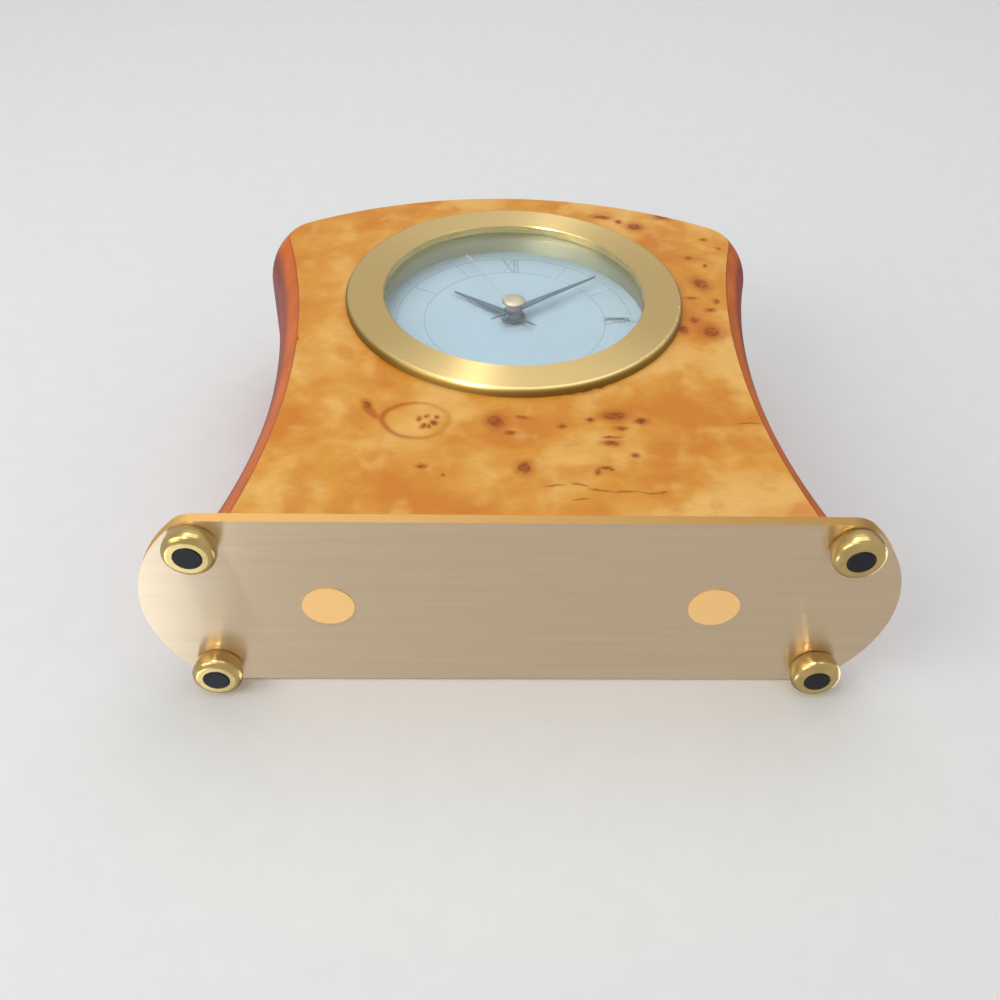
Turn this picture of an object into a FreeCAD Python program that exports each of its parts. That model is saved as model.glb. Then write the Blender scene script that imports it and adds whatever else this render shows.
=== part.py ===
"""Desk clock with a calendar: a wooden case on a brass base plate with four feet, and a quartz insert.

Millimetres. +Z is up and the dial faces -Y. The origin is on the surface that the clock stands on, under the
middle of its base. A depth named ..._s is counted from the front of the bezel towards the back of the clock.
Dial angles are in degrees clockwise from 12, as the clock is read.
"""
import FreeCAD, Part
import math
import os

os.makedirs("parts", exist_ok=True)
V = FreeCAD.Vector
BACKWARD = V(0, 1, 0)
UP = V(0, 0, 1)

# ---- Driving dimensions: base plate and feet
plate_width = 170.0
plate_depth = 52.0
plate_thickness = 2.5
plate_end_radius = 32.8
plate_corner_radius = 7.0
foot_inset_x = 14.6
foot_inset_y = 5.75
foot_height = 5.2
foot_neck_radius = 4.6
foot_bulge_radius = 5.8
foot_bulge_depth = 3.4
foot_ring_radius = 4.3
pad_radius = 3.1
pad_depth = 1.6
pad_proud = 0.3
foot_screw_radius = 1.25
foot_screw_head_radius = 2.4
foot_screw_head_height = 1.2
sticker_radius = 5.85
sticker_thickness = 0.2
body_screw_spread = 86.8
body_screw_radius = 1.6
body_screw_head_radius = 3.3
body_screw_length = 16.0
body_screw_point = 2.0
body_screw_spare = 1.0
slot_width = 0.6
slot_depth = 0.5
pad_edge = 0.3

# ---- Driving dimensions: wooden case
body_depth = 51.0
body_height = 148.6
base_half_width = 71.4
waist_half_width = 62.0
waist_height = 54.0
side_radius = 231.0
top_radius = 120.0
shoulder_radius = 16.0
edge_inset = 6.5
foot_edge_inset = 8.9
edge_depth = 13.8
edge_sections = 6
back_roundover = 4.8
veneer_thickness = 0.6
dial_height = 86.3

# ---- Driving dimensions: bezel, glass and dial
bezel_overlap = 3.9
bezel_lip = 2.2
bezel_thickness = 2.2
bezel_edge_chamfer = 0.25
bezel_edge_round = 1.3
skirt_wall = 1.3
glass_thickness = 1.0
gasket_thickness = 0.5
gasket_width = 1.0
reflector_front_wall = 1.1
reflector_back_wall = 0.75
dial_depth = 10.2
dial_thickness = 0.4
dial_hole_radius = 2.5
window_margin = 0.9
window_width = 7.0
window_height = 3.6

# ---- Driving dimensions: hands
hand_sheet = 0.25
hour_hand_s = 8.85
hour_hand_length = 20.2
hour_hand_tail = 7.9
hour_hand_width = 2.3
hour_hub_radius = 3.3
minute_hand_s = 7.0
minute_hand_length = 30.0
minute_hand_tail = 7.7
minute_hand_width = 2.2
minute_hub_radius = 2.5
hand_tip_width = 0.5
second_hand_s = 4.8
second_hand_sheet = 0.15
second_hand_length = 28.6
second_hand_tail = 2.2
second_hand_width = 0.5
collet_radius = 1.5
cap_radius = 3.15
cap_front_s = 3.5
cap_height = 0.85
cap_stem_radius = 1.3
hour_hand_angle = 307.0
minute_hand_angle = 53.3
second_hand_angle = 333.4

# ---- Driving dimensions: calendar
ledge_thickness = 2.2
ledge_width = 5.0
ring_gap = 0.25
ring_thickness = 0.6
ring_inner_margin = 0.2
ring_tooth_height = 0.8
ring_tooth_count = 31
calendar_plate_thickness = 0.9
date_wheel_direction = 315.0
date_wheel_thickness = 0.4
date_finger_margin = 0.3
date_finger_width = 1.2
date_stud_radius = 0.8
jumper_thickness = 0.4

# ---- Driving dimensions: insert housing
can_wall = 1.6
can_depth = 29.1
can_boss_radius = 2.6
band_thickness = 1.0
band_start_s = 6.0
band_width = 10.0
cover_thickness = 2.0
cover_screw_radius = 1.0
cover_screw_head_radius = 1.9
cover_screw_head_height = 1.2
cover_screw_length = 9.0

# ---- Driving dimensions: movement case
movement_corner_radius = 2.5
can_corner_gap = 0.74
movement_wall = 1.2
movement_front_wall = 1.0
movement_back_wall = 1.0
movement_split_depth = 8.0
lug_height = 8.0
lug_margin = 0.8
lug_half_width = 2.8
lug_thickness = 2.0
lug_screw_inset = 2.7
lug_screw_radius = 0.9
lug_screw_head_radius = 1.7
lug_screw_head_height = 1.1
lug_screw_length = 3.6
partition_thickness = 0.8

# ---- Driving dimensions: gear train
tooth_addendum = 0.8
tooth_dedendum = 1.05
tooth_root_share = 0.50
tooth_tip_share = 0.20
wheel_thickness = 0.8
pinion_overlap = 0.2
second_arbor_radius = 0.5
minute_tube_radius = 1.15
hour_tube_radius = 2.0
train_arbor_radius = 0.4
rotor_arbor_radius = 0.3
motion_stud_radius = 0.8
motion_distance = 6.0
motion_direction = 255.0
third_distance = 9.0
third_direction = 330.0
intermediate_distance = 8.75
intermediate_direction = 60.0
rotor_distance = 6.0
rotor_direction = 30.0
knob_direction = 270.0
rotor_magnet_radius = 1.5
rotor_magnet_length = 2.4
hour_wheel_gap = 0.4
motion_wheel_gap = 0.7
centre_wheel_gap = 1.0
third_wheel_gap = 1.6
intermediate_wheel_gap = 1.4
pivot_boss_radius = 1.3
pivot_boss_height = 1.5
pivot_depth = 0.6
knob_shaft_radius = 0.9
knob_radius = 5.0
knob_height = 2.6
knob_groove_count = 24
knob_groove_radius = 0.3

# ---- Driving dimensions: battery, coil and board
battery_radius = 7.25
battery_length = 49.5
battery_nub_radius = 2.75
battery_nub_length = 1.0
contact_thickness = 0.4
contact_spring = 0.15
contact_half_width = 5.0
contact_depth = 4.0
strip_depth = 1.0
stator_thickness = 1.0
rotor_hole_clearance = 0.5
stator_leg_width = 3.0
stator_margin = 1.8
stator_reach = 4.6
stator_bar_height = 6.4
core_width = 3.0
coil_radius = 3.2
coil_flange_radius = 3.8
coil_flange_thickness = 0.8
coil_top_gap = 0.5
board_margin = 1.8
board_lift = 4.0
board_standoff = 2.3
board_thickness = 0.8
board_post_radius = 1.5

# ---- Named clearances and tooth counts
running = 0.05
easy = 0.1
loose = 0.3
cannon_teeth = 12
motion_wheel_teeth = 36
motion_pinion_teeth = 10
hour_wheel_teeth = 40
knob_teeth = 12
second_pinion_teeth = 8
third_wheel_teeth = 64
third_pinion_teeth = 8
centre_wheel_teeth = 60
second_wheel_teeth = 60
intermediate_pinion_teeth = 10
intermediate_wheel_teeth = 40
rotor_pinion_teeth = 8
date_pinion_teeth = 24
date_wheel_teeth = 48

# ---- Places that follow from the sizes above
plate_bottom = foot_height + pad_proud
plate_top = plate_bottom + plate_thickness
foot_x = plate_width / 2 - foot_inset_x
foot_y = plate_depth / 2 - foot_inset_y
body_front = -body_depth / 2
body_back = body_depth / 2
dial_centre = plate_top + dial_height
face = body_front - bezel_thickness

movement_inner_half = battery_length / 2 + battery_nub_length + contact_thickness + contact_spring
movement_half = movement_inner_half + movement_wall
can_inner = movement_half * math.sqrt(2) - movement_corner_radius * (math.sqrt(2) - 1) + can_corner_gap
can_outer = can_inner + can_wall
case_bore_radius = can_outer + band_thickness
bezel_outer_radius = case_bore_radius + bezel_overlap
skirt_outer = can_inner - easy
skirt_inner = skirt_outer - skirt_wall
glass_radius = skirt_inner - easy
bezel_inner_radius = glass_radius - bezel_lip
reflector_front_opening = glass_radius - reflector_front_wall
reflector_back_opening = glass_radius - reflector_back_wall
glass_s = bezel_thickness
gasket_s = glass_s + glass_thickness
reflector_s = gasket_s + gasket_thickness
dial_s = dial_depth
dial_radius = can_inner - easy
ledge_s = dial_s + dial_thickness
ledge_inner = can_inner - ledge_width
movement_s = ledge_s + ledge_thickness
calendar_plate_s = movement_s - calendar_plate_thickness
ring_s = ledge_s + ring_gap
ring_outer = ledge_inner - loose
window_right = ring_outer - window_margin
window_left = window_right - window_width
ring_inner_radius = window_left - ring_inner_margin
ring_tip_radius = ring_inner_radius - ring_tooth_height
date_reach = ring_tip_radius - loose
cover_s = can_depth
can_boss_reach = can_inner - can_boss_radius + easy * 2

inner_front_s = movement_s + movement_front_wall
split_s = movement_s + movement_split_depth
inner_back_s = cover_s - movement_back_wall
bay_bottom = -movement_inner_half
battery_w = bay_bottom + battery_radius + running
battery_s = inner_front_s + battery_radius + easy
bay_top = battery_w + battery_radius + easy
battery_end = battery_length / 2

hour_wheel_s = inner_front_s + hour_wheel_gap
motion_wheel_s = hour_wheel_s + wheel_thickness + motion_wheel_gap
centre_wheel_s = motion_wheel_s + wheel_thickness + centre_wheel_gap
third_wheel_s = centre_wheel_s + wheel_thickness + third_wheel_gap
stator_s = third_wheel_s + wheel_thickness + loose
second_wheel_s = stator_s + stator_thickness + easy
intermediate_wheel_s = second_wheel_s + wheel_thickness + intermediate_wheel_gap
board_s = inner_back_s - board_standoff - board_thickness
arbor_front_s = inner_front_s - pivot_depth + easy
arbor_back_s = inner_back_s + pivot_depth - easy
pipe_end_s = minute_hand_s - easy
collet_end_s = pipe_end_s - loose

body_screw_x = body_screw_spread / 2


# ---- Small helpers for the geometry
def clock_point(angle, reach):
    """A dial angle and a distance from the centre, as steps right and up."""
    turn = math.radians(angle)
    return reach * math.sin(turn), reach * math.cos(turn)


def polar(direction, reach, start=(0.0, 0.0)):
    right, up = clock_point(direction, reach)
    return start[0] + right, start[1] + up


def at(right, up, s):
    return V(right, face + s, dial_centre + up)


def rod(radius, s0, s1, where=(0.0, 0.0)):
    return Part.makeCylinder(radius, s1 - s0, at(where[0], where[1], s0), BACKWARD)


def crossbar(radius, left, right, up, s):
    """A round bar that runs from left to right."""
    return Part.makeCylinder(radius, right - left, at(left, up, s), V(1, 0, 0))


def tube(outer, inner, s0, s1, where=(0.0, 0.0)):
    return rod(outer, s0, s1, where).cut(rod(inner, s0, s1, where))


def block(right, up, s):
    """A box from three (low, high) pairs, counted from the dial's centre and the bezel's front."""
    corner = at(right[0], up[0], s[0])
    return Part.makeBox(right[1] - right[0], s[1] - s[0], up[1] - up[0], corner)


def slab(points, s0, s1):
    """A flat plate with straight edges, from points counted from the dial's centre."""
    corners = [at(right, up, s0) for right, up in points]
    outline = Part.makePolygon(corners + corners[:1])
    return Part.Face(outline).extrude(BACKWARD * (s1 - s0))


def join(first, *others):
    return first.fuse(list(others)).removeSplitter()


def turned(profile, axis_point, axis):
    """A turned solid. The profile is a list of (radius, distance along the axis)."""
    side = V(1, 0, 0)
    points = [axis_point + side * radius + axis * along for radius, along in profile]
    outline = Part.makePolygon(points + points[:1])
    return Part.Face(outline).revolve(axis_point, axis, 360)


def arc_edge(centre, radius, start, end):
    """An arc in the case's front plane. Angles in degrees, anticlockwise from the right."""
    points = []
    for angle in (start, (start + end) / 2, end):
        turn = math.radians(angle)
        points.append(V(centre[0] + radius * math.cos(turn), 0, centre[1] + radius * math.sin(turn)))
    return Part.Arc(*points).toShape()


def angle_to(centre, point):
    return math.degrees(math.atan2(point[1] - centre[1], point[0] - centre[0]))


def export(name, shape):
    shape.exportStep("parts/" + name + ".step")


# ---- Gears
def mesh_phase(teeth_a, phase_a, teeth_b, direction):
    """The phase that puts gear B's teeth in the gaps of gear A. B lies at this direction from A."""
    return direction + 180 + (180 - teeth_a * (phase_a - direction)) / teeth_b


def gear(teeth, module, phase, s0, s1, where=(0.0, 0.0), bore=None):
    """A spur gear whose teeth taper to the tip, with one tooth centred on the phase angle."""
    pitch_radius = teeth * module / 2
    tip = pitch_radius + tooth_addendum * module
    root = pitch_radius - tooth_dedendum * module
    step = 360 / teeth
    points = []
    for tooth in range(teeth):
        middle = phase + tooth * step
        for share, radius in ((-tooth_root_share, root), (-tooth_tip_share, tip),
                              (tooth_tip_share, tip), (tooth_root_share, root)):
            points.append(polar(middle + share * step / 2, radius, where))
    solid = slab(points, s0, s1)
    if bore:
        solid = solid.cut(rod(bore, s0, s1, where))
    return solid


def pair_module(distance, teeth_a, teeth_b):
    return 2 * distance / (teeth_a + teeth_b)


# ---- Base plate, feet and their fasteners
def base_plate():
    """Flat plate with straight long edges, arched ends and softened corners."""
    half_width = plate_width / 2
    half_depth = plate_depth / 2
    arc_centre = half_width - plate_end_radius
    sweep = math.degrees(math.asin(half_depth / plate_end_radius))
    corner_x = arc_centre + plate_end_radius * math.cos(math.radians(sweep))
    edges = []
    for side in (1, -1):
        points = []
        for angle in (-sweep, 0, sweep):
            turn = math.radians(angle)
            x = side * (arc_centre + plate_end_radius * math.cos(turn))
            points.append(V(x, side * plate_end_radius * math.sin(turn), plate_bottom))
        edges.append(Part.Arc(*points).toShape())
        start = V(side * corner_x, side * half_depth, plate_bottom)
        end = V(-side * corner_x, side * half_depth, plate_bottom)
        edges.append(Part.LineSegment(start, end).toShape())
    plate = Part.Face(Part.Wire(edges)).extrude(UP * plate_thickness)
    corners = [edge for edge in plate.Edges if edge.BoundBox.ZLength > plate_thickness / 2]
    plate = plate.makeFillet(plate_corner_radius, corners)
    for x in (-body_screw_x, body_screw_x):
        hole = Part.makeCylinder(body_screw_radius + easy, plate_thickness, V(x, 0, plate_bottom))
        plate = plate.cut(hole)
        sink = Part.makeCone(body_screw_head_radius + easy, body_screw_radius + easy,
                             body_screw_head_radius - body_screw_radius, V(x, 0, plate_bottom))
        plate = plate.cut(sink)
    for x, y in foot_places().values():
        plate = plate.cut(Part.makeCylinder(foot_screw_radius, plate_thickness, V(x, y, plate_bottom)))
    return plate


def foot_places():
    return {"front_left": (-foot_x, -foot_y), "front_right": (foot_x, -foot_y),
            "rear_left": (-foot_x, foot_y), "rear_right": (foot_x, foot_y)}


def foot(x, y):
    """Turned bun foot: narrow neck, full bulge, flat ring with a cup for its pad."""
    down = V(0, 0, -1)
    profile = [(foot_screw_radius + easy, 0)]
    steps = 6
    for step in range(steps):
        turn = math.radians(90 * step / steps)
        profile.append((foot_neck_radius + (foot_bulge_radius - foot_neck_radius) * math.sin(turn),
                        foot_bulge_depth * (1 - math.cos(turn))))
    for step in range(steps + 1):
        turn = math.radians(90 * step / steps)
        profile.append((foot_ring_radius + (foot_bulge_radius - foot_ring_radius) * math.cos(turn),
                        foot_bulge_depth + (foot_height - foot_bulge_depth) * math.sin(turn)))
    cup_radius = pad_radius + running
    head_bottom = foot_height - pad_depth - foot_screw_head_height
    profile += [(cup_radius, foot_height), (cup_radius, foot_height - pad_depth),
                (foot_screw_head_radius + easy, foot_height - pad_depth),
                (foot_screw_head_radius + easy, head_bottom), (foot_screw_radius + easy, head_bottom)]
    return turned(profile, V(x, y, plate_bottom), down)


def foot_pad(x, y):
    profile = [(0, 0), (pad_radius - pad_edge, 0), (pad_radius, pad_edge),
               (pad_radius, pad_depth + pad_proud),
               (0, pad_depth + pad_proud)]
    return turned(profile, V(x, y, 0), UP)


def foot_screw(x, y):
    head_bottom = pad_proud + pad_depth
    head_top = head_bottom + foot_screw_head_height
    head = Part.makeCylinder(foot_screw_head_radius, foot_screw_head_height, V(x, y, head_bottom))
    shank = Part.makeCylinder(foot_screw_radius, plate_top - loose - head_top, V(x, y, head_top))
    slot = Part.makeBox(2 * foot_screw_head_radius, slot_width, slot_depth,
                        V(x - foot_screw_head_radius, y - slot_width / 2, head_bottom))
    return join(head, shank).cut(slot)


def body_screw(x):
    head_height = body_screw_head_radius - body_screw_radius
    head = Part.makeCone(body_screw_head_radius, body_screw_radius, head_height, V(x, 0, plate_bottom))
    shank = Part.makeCylinder(body_screw_radius, body_screw_length - head_height - body_screw_point,
                              V(x, 0, plate_bottom + head_height))
    point = Part.makeCone(body_screw_radius, body_screw_radius / 5, body_screw_point,
                          V(x, 0, plate_bottom + body_screw_length - body_screw_point))
    half = slot_width / 2
    reach = body_screw_radius
    drive = Part.makeBox(2 * reach, slot_width, slot_depth, V(x - reach, -half, plate_bottom))
    drive = drive.fuse(Part.makeBox(slot_width, 2 * reach, slot_depth, V(x - half, -reach, plate_bottom)))
    return join(head, shank, point).cut(drive)


def screw_cover(x):
    return Part.makeCylinder(sticker_radius, sticker_thickness, V(x, 0, plate_bottom - sticker_thickness))


# ---- Wooden case
def case_outline(inset):
    """Front view of the case: flared foot, waisted sides, rounded shoulders, arched top. The inset grows to the foot."""
    foot_inset = inset * foot_edge_inset / edge_inset
    flare = base_half_width - foot_inset - (waist_half_width - inset)
    foot_radius = (waist_height ** 2 + flare ** 2) / (2 * flare)
    foot_centre = (waist_half_width + foot_radius, plate_top + waist_height)
    side_centre = (waist_half_width + side_radius, plate_top + waist_height)
    top_centre = (0.0, plate_top + body_height - top_radius)
    foot_r = foot_radius + inset
    side_r = side_radius + inset
    top_r = top_radius - inset
    shoulder_r = shoulder_radius - inset
    reach_side = side_radius + shoulder_radius
    reach_top = top_radius - shoulder_radius
    across = side_centre[0] - top_centre[0]
    rise = side_centre[1] - top_centre[1]
    gap = math.hypot(across, rise)
    along = (reach_top ** 2 - reach_side ** 2 + gap ** 2) / (2 * gap)
    off = math.sqrt(reach_top ** 2 - along ** 2)
    shoulder = (top_centre[0] + (along * across - off * rise) / gap,
                top_centre[1] + (along * rise + off * across) / gap)
    to_side = angle_to(shoulder, side_centre)
    to_top = angle_to(top_centre, shoulder)
    drop = math.degrees(math.asin(waist_height / foot_r))
    edges = []
    foot_x_here = foot_centre[0] - foot_r * math.cos(math.radians(drop))
    for mirror in (1, -1):
        piece = [arc_edge(foot_centre, foot_r, 180 + drop, 180),
                 arc_edge(side_centre, side_r, 180, 180 + to_side),
                 arc_edge(shoulder, shoulder_r, to_side, to_top),
                 arc_edge(top_centre, top_r, to_top, 90)]
        if mirror < 0:
            piece = [edge.mirror(V(0, 0, 0), V(1, 0, 0)) for edge in reversed(piece)]
        edges += piece
    edges.append(Part.LineSegment(V(-foot_x_here, 0, plate_top), V(foot_x_here, 0, plate_top)).toShape())
    return Part.Wire(Part.__sortEdges__(edges))


def case_prism(inset, y0, y1):
    outline = case_outline(inset)
    outline.translate(V(0, y0, 0))
    return Part.Face(outline).extrude(BACKWARD * (y1 - y0))


def case_bore(depth):
    return Part.makeCylinder(case_bore_radius, depth, V(0, body_front, dial_centre), BACKWARD)


def rounded_front():
    """The front of the case, where the sides and top curve inwards along an arc until they meet the veneer."""
    edge_radius = (edge_inset ** 2 + edge_depth ** 2) / (2 * edge_inset)
    sections = []
    for step in range(edge_sections + 1):
        depth = edge_depth * step / edge_sections
        inset = edge_radius - math.sqrt(edge_radius ** 2 - (edge_depth - depth) ** 2)
        section = case_outline(inset)
        section.translate(V(0, body_front + depth, 0))
        sections.append(section)
    return Part.makeLoft(sections, True)


def wooden_body():
    back = case_prism(0, body_front + edge_depth, body_back)
    rims = []
    for edge in back.Edges:
        at_back = edge.BoundBox.YMin > body_back - back_roundover
        if at_back and edge.BoundBox.ZMax > plate_top + back_roundover:
            rims.append(edge)
    body = rounded_front().fuse(back.makeFillet(back_roundover, rims))
    body = body.cut(case_prism(edge_inset, body_front, body_front + veneer_thickness))
    body = body.cut(case_bore(body_depth))
    pilot_depth = body_screw_length - plate_thickness + body_screw_spare
    for x in (-body_screw_x, body_screw_x):
        body = body.cut(Part.makeCylinder(body_screw_radius, pilot_depth, V(x, 0, plate_top)))
    return body


def burl_veneer():
    sheet = case_prism(edge_inset, body_front, body_front + veneer_thickness)
    return sheet.cut(case_bore(veneer_thickness))


# ---- Bezel, glass, dial
def bezel():
    c = bezel_edge_chamfer
    profile = [(bezel_inner_radius, c), (bezel_inner_radius + c, 0), (bezel_outer_radius, 0),
               (bezel_outer_radius, bezel_thickness),
               (skirt_outer, bezel_thickness), (skirt_outer, dial_s), (skirt_inner, dial_s),
               (skirt_inner, bezel_thickness), (bezel_inner_radius, bezel_thickness)]
    ring = turned(profile, at(0, 0, 0), BACKWARD)
    rim = []
    for edge in ring.Edges:
        in_front = edge.BoundBox.YMax < face + c
        if in_front and edge.BoundBox.XMax > bezel_outer_radius - c:
            rim.append(edge)
    return ring.makeFillet(bezel_edge_round, rim)


def glass():
    return rod(glass_radius, glass_s, gasket_s)


def glass_gasket():
    return tube(glass_radius, glass_radius - gasket_width, gasket_s, reflector_s)


def reflector_ring():
    profile = [(reflector_front_opening, reflector_s), (glass_radius, reflector_s),
               (glass_radius, dial_s), (reflector_back_opening, dial_s)]
    return turned(profile, at(0, 0, 0), BACKWARD)


def dial():
    plate = tube(dial_radius, dial_hole_radius, dial_s, ledge_s)
    half = window_height / 2
    return plate.cut(block((window_left, window_right), (-half, half), (dial_s, ledge_s)))


# ---- Insert housing
def can_boss_places():
    return [clock_point(angle, can_boss_reach) for angle in (0, 90, 180, 270)]


def lug_screw_places():
    across = math.sqrt((ledge_inner + lug_screw_inset) ** 2 - lug_height ** 2)
    return [(across, lug_height), (-across, -lug_height)]


def insert_can():
    can = tube(can_outer, can_inner, bezel_thickness, can_depth)
    ledge = tube(can_inner, ledge_inner, ledge_s, movement_s)
    bosses = []
    for place in can_boss_places():
        bosses.append(rod(can_boss_radius, movement_s, can_depth, place).common(
            rod(can_outer, movement_s, can_depth)))
    can = join(can, ledge, *bosses)
    for place in can_boss_places():
        can = can.cut(rod(cover_screw_radius, can_depth - cover_screw_length, can_depth, place))
    for place in lug_screw_places():
        can = can.cut(rod(lug_screw_radius, ledge_s + loose, movement_s, place))
    return can


def retaining_band():
    """Soft ring with raised ribs, squeezed between the insert and the bore of the case."""
    rib_gap = band_width / 4
    rib_height = band_thickness / 2
    profile = [(can_outer, band_start_s)]
    for rib in range(4):
        start = band_start_s + rib * rib_gap
        profile.append((case_bore_radius, start))
        profile.append((case_bore_radius, start + rib_gap / 2))
        if rib < 3:
            profile.append((case_bore_radius - rib_height, start + rib_gap / 2))
            profile.append((case_bore_radius - rib_height, start + rib_gap))
    profile.append((can_outer, band_start_s + 3.5 * rib_gap))
    return turned(profile, at(0, 0, 0), BACKWARD)


def back_cover():
    cover = rod(can_outer, cover_s, cover_s + cover_thickness)
    window = ((-movement_inner_half, movement_inner_half), (bay_bottom, bay_top))
    cover = cover.cut(block(window[0], window[1], (cover_s, cover_s + cover_thickness)))
    cover = cover.cut(rod(knob_radius + 2 * loose, cover_s, cover_s + cover_thickness, knob_place))
    for place in can_boss_places():
        cover = cover.cut(rod(cover_screw_radius + easy, cover_s, cover_s + cover_thickness, place))
    return cover


def cover_screw(place):
    head_s = cover_s + cover_thickness
    head = rod(cover_screw_head_radius, head_s, head_s + cover_screw_head_height, place)
    shank = rod(cover_screw_radius, head_s - cover_screw_length, head_s, place)
    slot = block((place[0] - cover_screw_head_radius, place[0] + cover_screw_head_radius),
                 (place[1] - slot_width / 2, place[1] + slot_width / 2),
                 (head_s + cover_screw_head_height - slot_depth, head_s + cover_screw_head_height))
    return join(head, shank).cut(slot)


def lug_screw(place):
    head_s = movement_s + lug_thickness
    head = rod(lug_screw_head_radius, head_s, head_s + lug_screw_head_height, place)
    return join(head, rod(lug_screw_radius, head_s - lug_screw_length, head_s, place))


# ---- Where the arbors stand, and how their gears mesh
motion_place = polar(motion_direction, motion_distance)
third_place = polar(third_direction, third_distance)
intermediate_place = polar(intermediate_direction, intermediate_distance)
rotor_place = polar(rotor_direction, rotor_distance, intermediate_place)
date_teeth = date_pinion_teeth + date_wheel_teeth
date_share = (date_wheel_teeth + 2 * tooth_addendum) / date_teeth
date_wheel_distance = (date_reach - date_finger_margin) / (1 + date_share)
date_finger_reach = date_reach - date_wheel_distance
date_wheel_place = polar(date_wheel_direction, date_wheel_distance)
knob_distance = motion_distance * (motion_wheel_teeth + knob_teeth) / (motion_wheel_teeth + cannon_teeth)
knob_place = polar(knob_direction, knob_distance, motion_place)

motion_module = pair_module(motion_distance, cannon_teeth, motion_wheel_teeth)
hour_module = pair_module(motion_distance, motion_pinion_teeth, hour_wheel_teeth)
third_module = pair_module(third_distance, second_pinion_teeth, third_wheel_teeth)
centre_module = pair_module(third_distance, third_pinion_teeth, centre_wheel_teeth)
second_module = pair_module(intermediate_distance, intermediate_pinion_teeth, second_wheel_teeth)
rotor_module = pair_module(rotor_distance, rotor_pinion_teeth, intermediate_wheel_teeth)
date_module = pair_module(date_wheel_distance, date_pinion_teeth, date_wheel_teeth)

motion_phase = mesh_phase(cannon_teeth, 0, motion_wheel_teeth, motion_direction)
motion_pinion_phase = mesh_phase(hour_wheel_teeth, 0, motion_pinion_teeth, motion_direction)
knob_phase = mesh_phase(motion_wheel_teeth, motion_phase, knob_teeth, knob_direction)
third_phase = mesh_phase(second_pinion_teeth, 0, third_wheel_teeth, third_direction)
third_pinion_phase = mesh_phase(centre_wheel_teeth, 0, third_pinion_teeth, third_direction)
intermediate_pinion_phase = mesh_phase(second_wheel_teeth, 0, intermediate_pinion_teeth,
                                       intermediate_direction)
rotor_pinion_phase = mesh_phase(intermediate_wheel_teeth, 0, rotor_pinion_teeth, rotor_direction)
date_wheel_phase = mesh_phase(date_pinion_teeth, 0, date_wheel_teeth, date_wheel_direction)


def pinion(teeth, module, phase, wheel_s, where=(0.0, 0.0), bore=None):
    """A pinion a little longer than the wheel that it drives."""
    return gear(teeth, module, phase, wheel_s - pinion_overlap, wheel_s + wheel_thickness + pinion_overlap,
                where, bore)


# ---- Calendar
def calendar_plate():
    plate = tube(ledge_inner - easy, hour_tube_radius + loose, calendar_plate_s, movement_s)
    stud_end = ring_s - ring_gap / 2
    return join(plate, rod(date_stud_radius, stud_end, calendar_plate_s, date_wheel_place))


def date_ring():
    """Ring with inner teeth, one for each day of the month. It turns behind the dial's window."""
    ring = rod(ring_outer, ring_s, ring_s + ring_thickness)
    step = 360 / ring_tooth_count
    points = []
    for tooth in range(ring_tooth_count):
        middle = 90 + tooth * step
        for share, radius in ((-0.35, ring_inner_radius), (-0.08, ring_tip_radius),
                              (0.08, ring_tip_radius), (0.35, ring_inner_radius)):
            points.append(polar(middle + share * step, radius))
    return ring.cut(slab(points, ring_s, ring_s + ring_thickness))


def date_pinion():
    return gear(date_pinion_teeth, date_module, 0, ring_s, ring_s + date_wheel_thickness,
                bore=hour_tube_radius)


def date_wheel():
    """Turns once a day. Its finger is what moves the date ring on."""
    wheel = gear(date_wheel_teeth, date_module, date_wheel_phase, ring_s, ring_s + date_wheel_thickness,
                 date_wheel_place)
    hub_back = calendar_plate_s - easy / 2
    hub = rod(2 * date_stud_radius, ring_s, hub_back, date_wheel_place)
    finger_s = ring_s + date_wheel_thickness
    near = polar(date_wheel_direction + 180, date_finger_reach, date_wheel_place)
    side = clock_point(date_wheel_direction + 90, date_finger_width / 2)
    start = date_wheel_place
    points = [(start[0] - side[0], start[1] - side[1]), (near[0] - side[0] / 2, near[1] - side[1] / 2),
              (near[0] + side[0] / 2, near[1] + side[1] / 2), (start[0] + side[0], start[1] + side[1])]
    wheel = join(wheel, hub, slab(points, finger_s, hub_back))
    return wheel.cut(rod(date_stud_radius + running, ring_s, hub_back, date_wheel_place))


def date_jumper():
    """Leaf spring on the calendar plate, its nose just short of the ring's teeth."""
    outline = ((217, 4 * date_stud_radius), (224, 4 * date_stud_radius), (224, 1.5 * date_stud_radius),
               (217, 1.5 * date_stud_radius), (204, date_stud_radius), (200, 0), (198, date_stud_radius),
               (201, 2 * date_stud_radius), (206, 2 * date_stud_radius))
    points = [polar(direction, date_reach - inset) for direction, inset in outline]
    leaf = slab(points, calendar_plate_s - jumper_thickness, calendar_plate_s)
    pin_place = polar(220.5, date_reach - 2.75 * date_stud_radius)
    pin_end = calendar_plate_s - jumper_thickness
    return join(leaf, rod(date_stud_radius, pin_end - jumper_thickness, pin_end, pin_place))


# ---- Movement case
def rounded_square(half, corner, s0, s1):
    square = block((-half, half), (-half, half), (s0, s1))
    corners = [e for e in square.Edges if e.BoundBox.YLength > (s1 - s0) / 2]
    return square.makeFillet(corner, corners)


def movement_shell(s0, s1):
    inner = rounded_square(movement_inner_half, movement_corner_radius - movement_wall, s0, s1)
    return rounded_square(movement_half, movement_corner_radius, s0, s1).cut(inner)


def partition(s0, s1):
    across = (-movement_inner_half, movement_inner_half)
    return block(across, (bay_top, bay_top + partition_thickness), (s0, s1))


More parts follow.
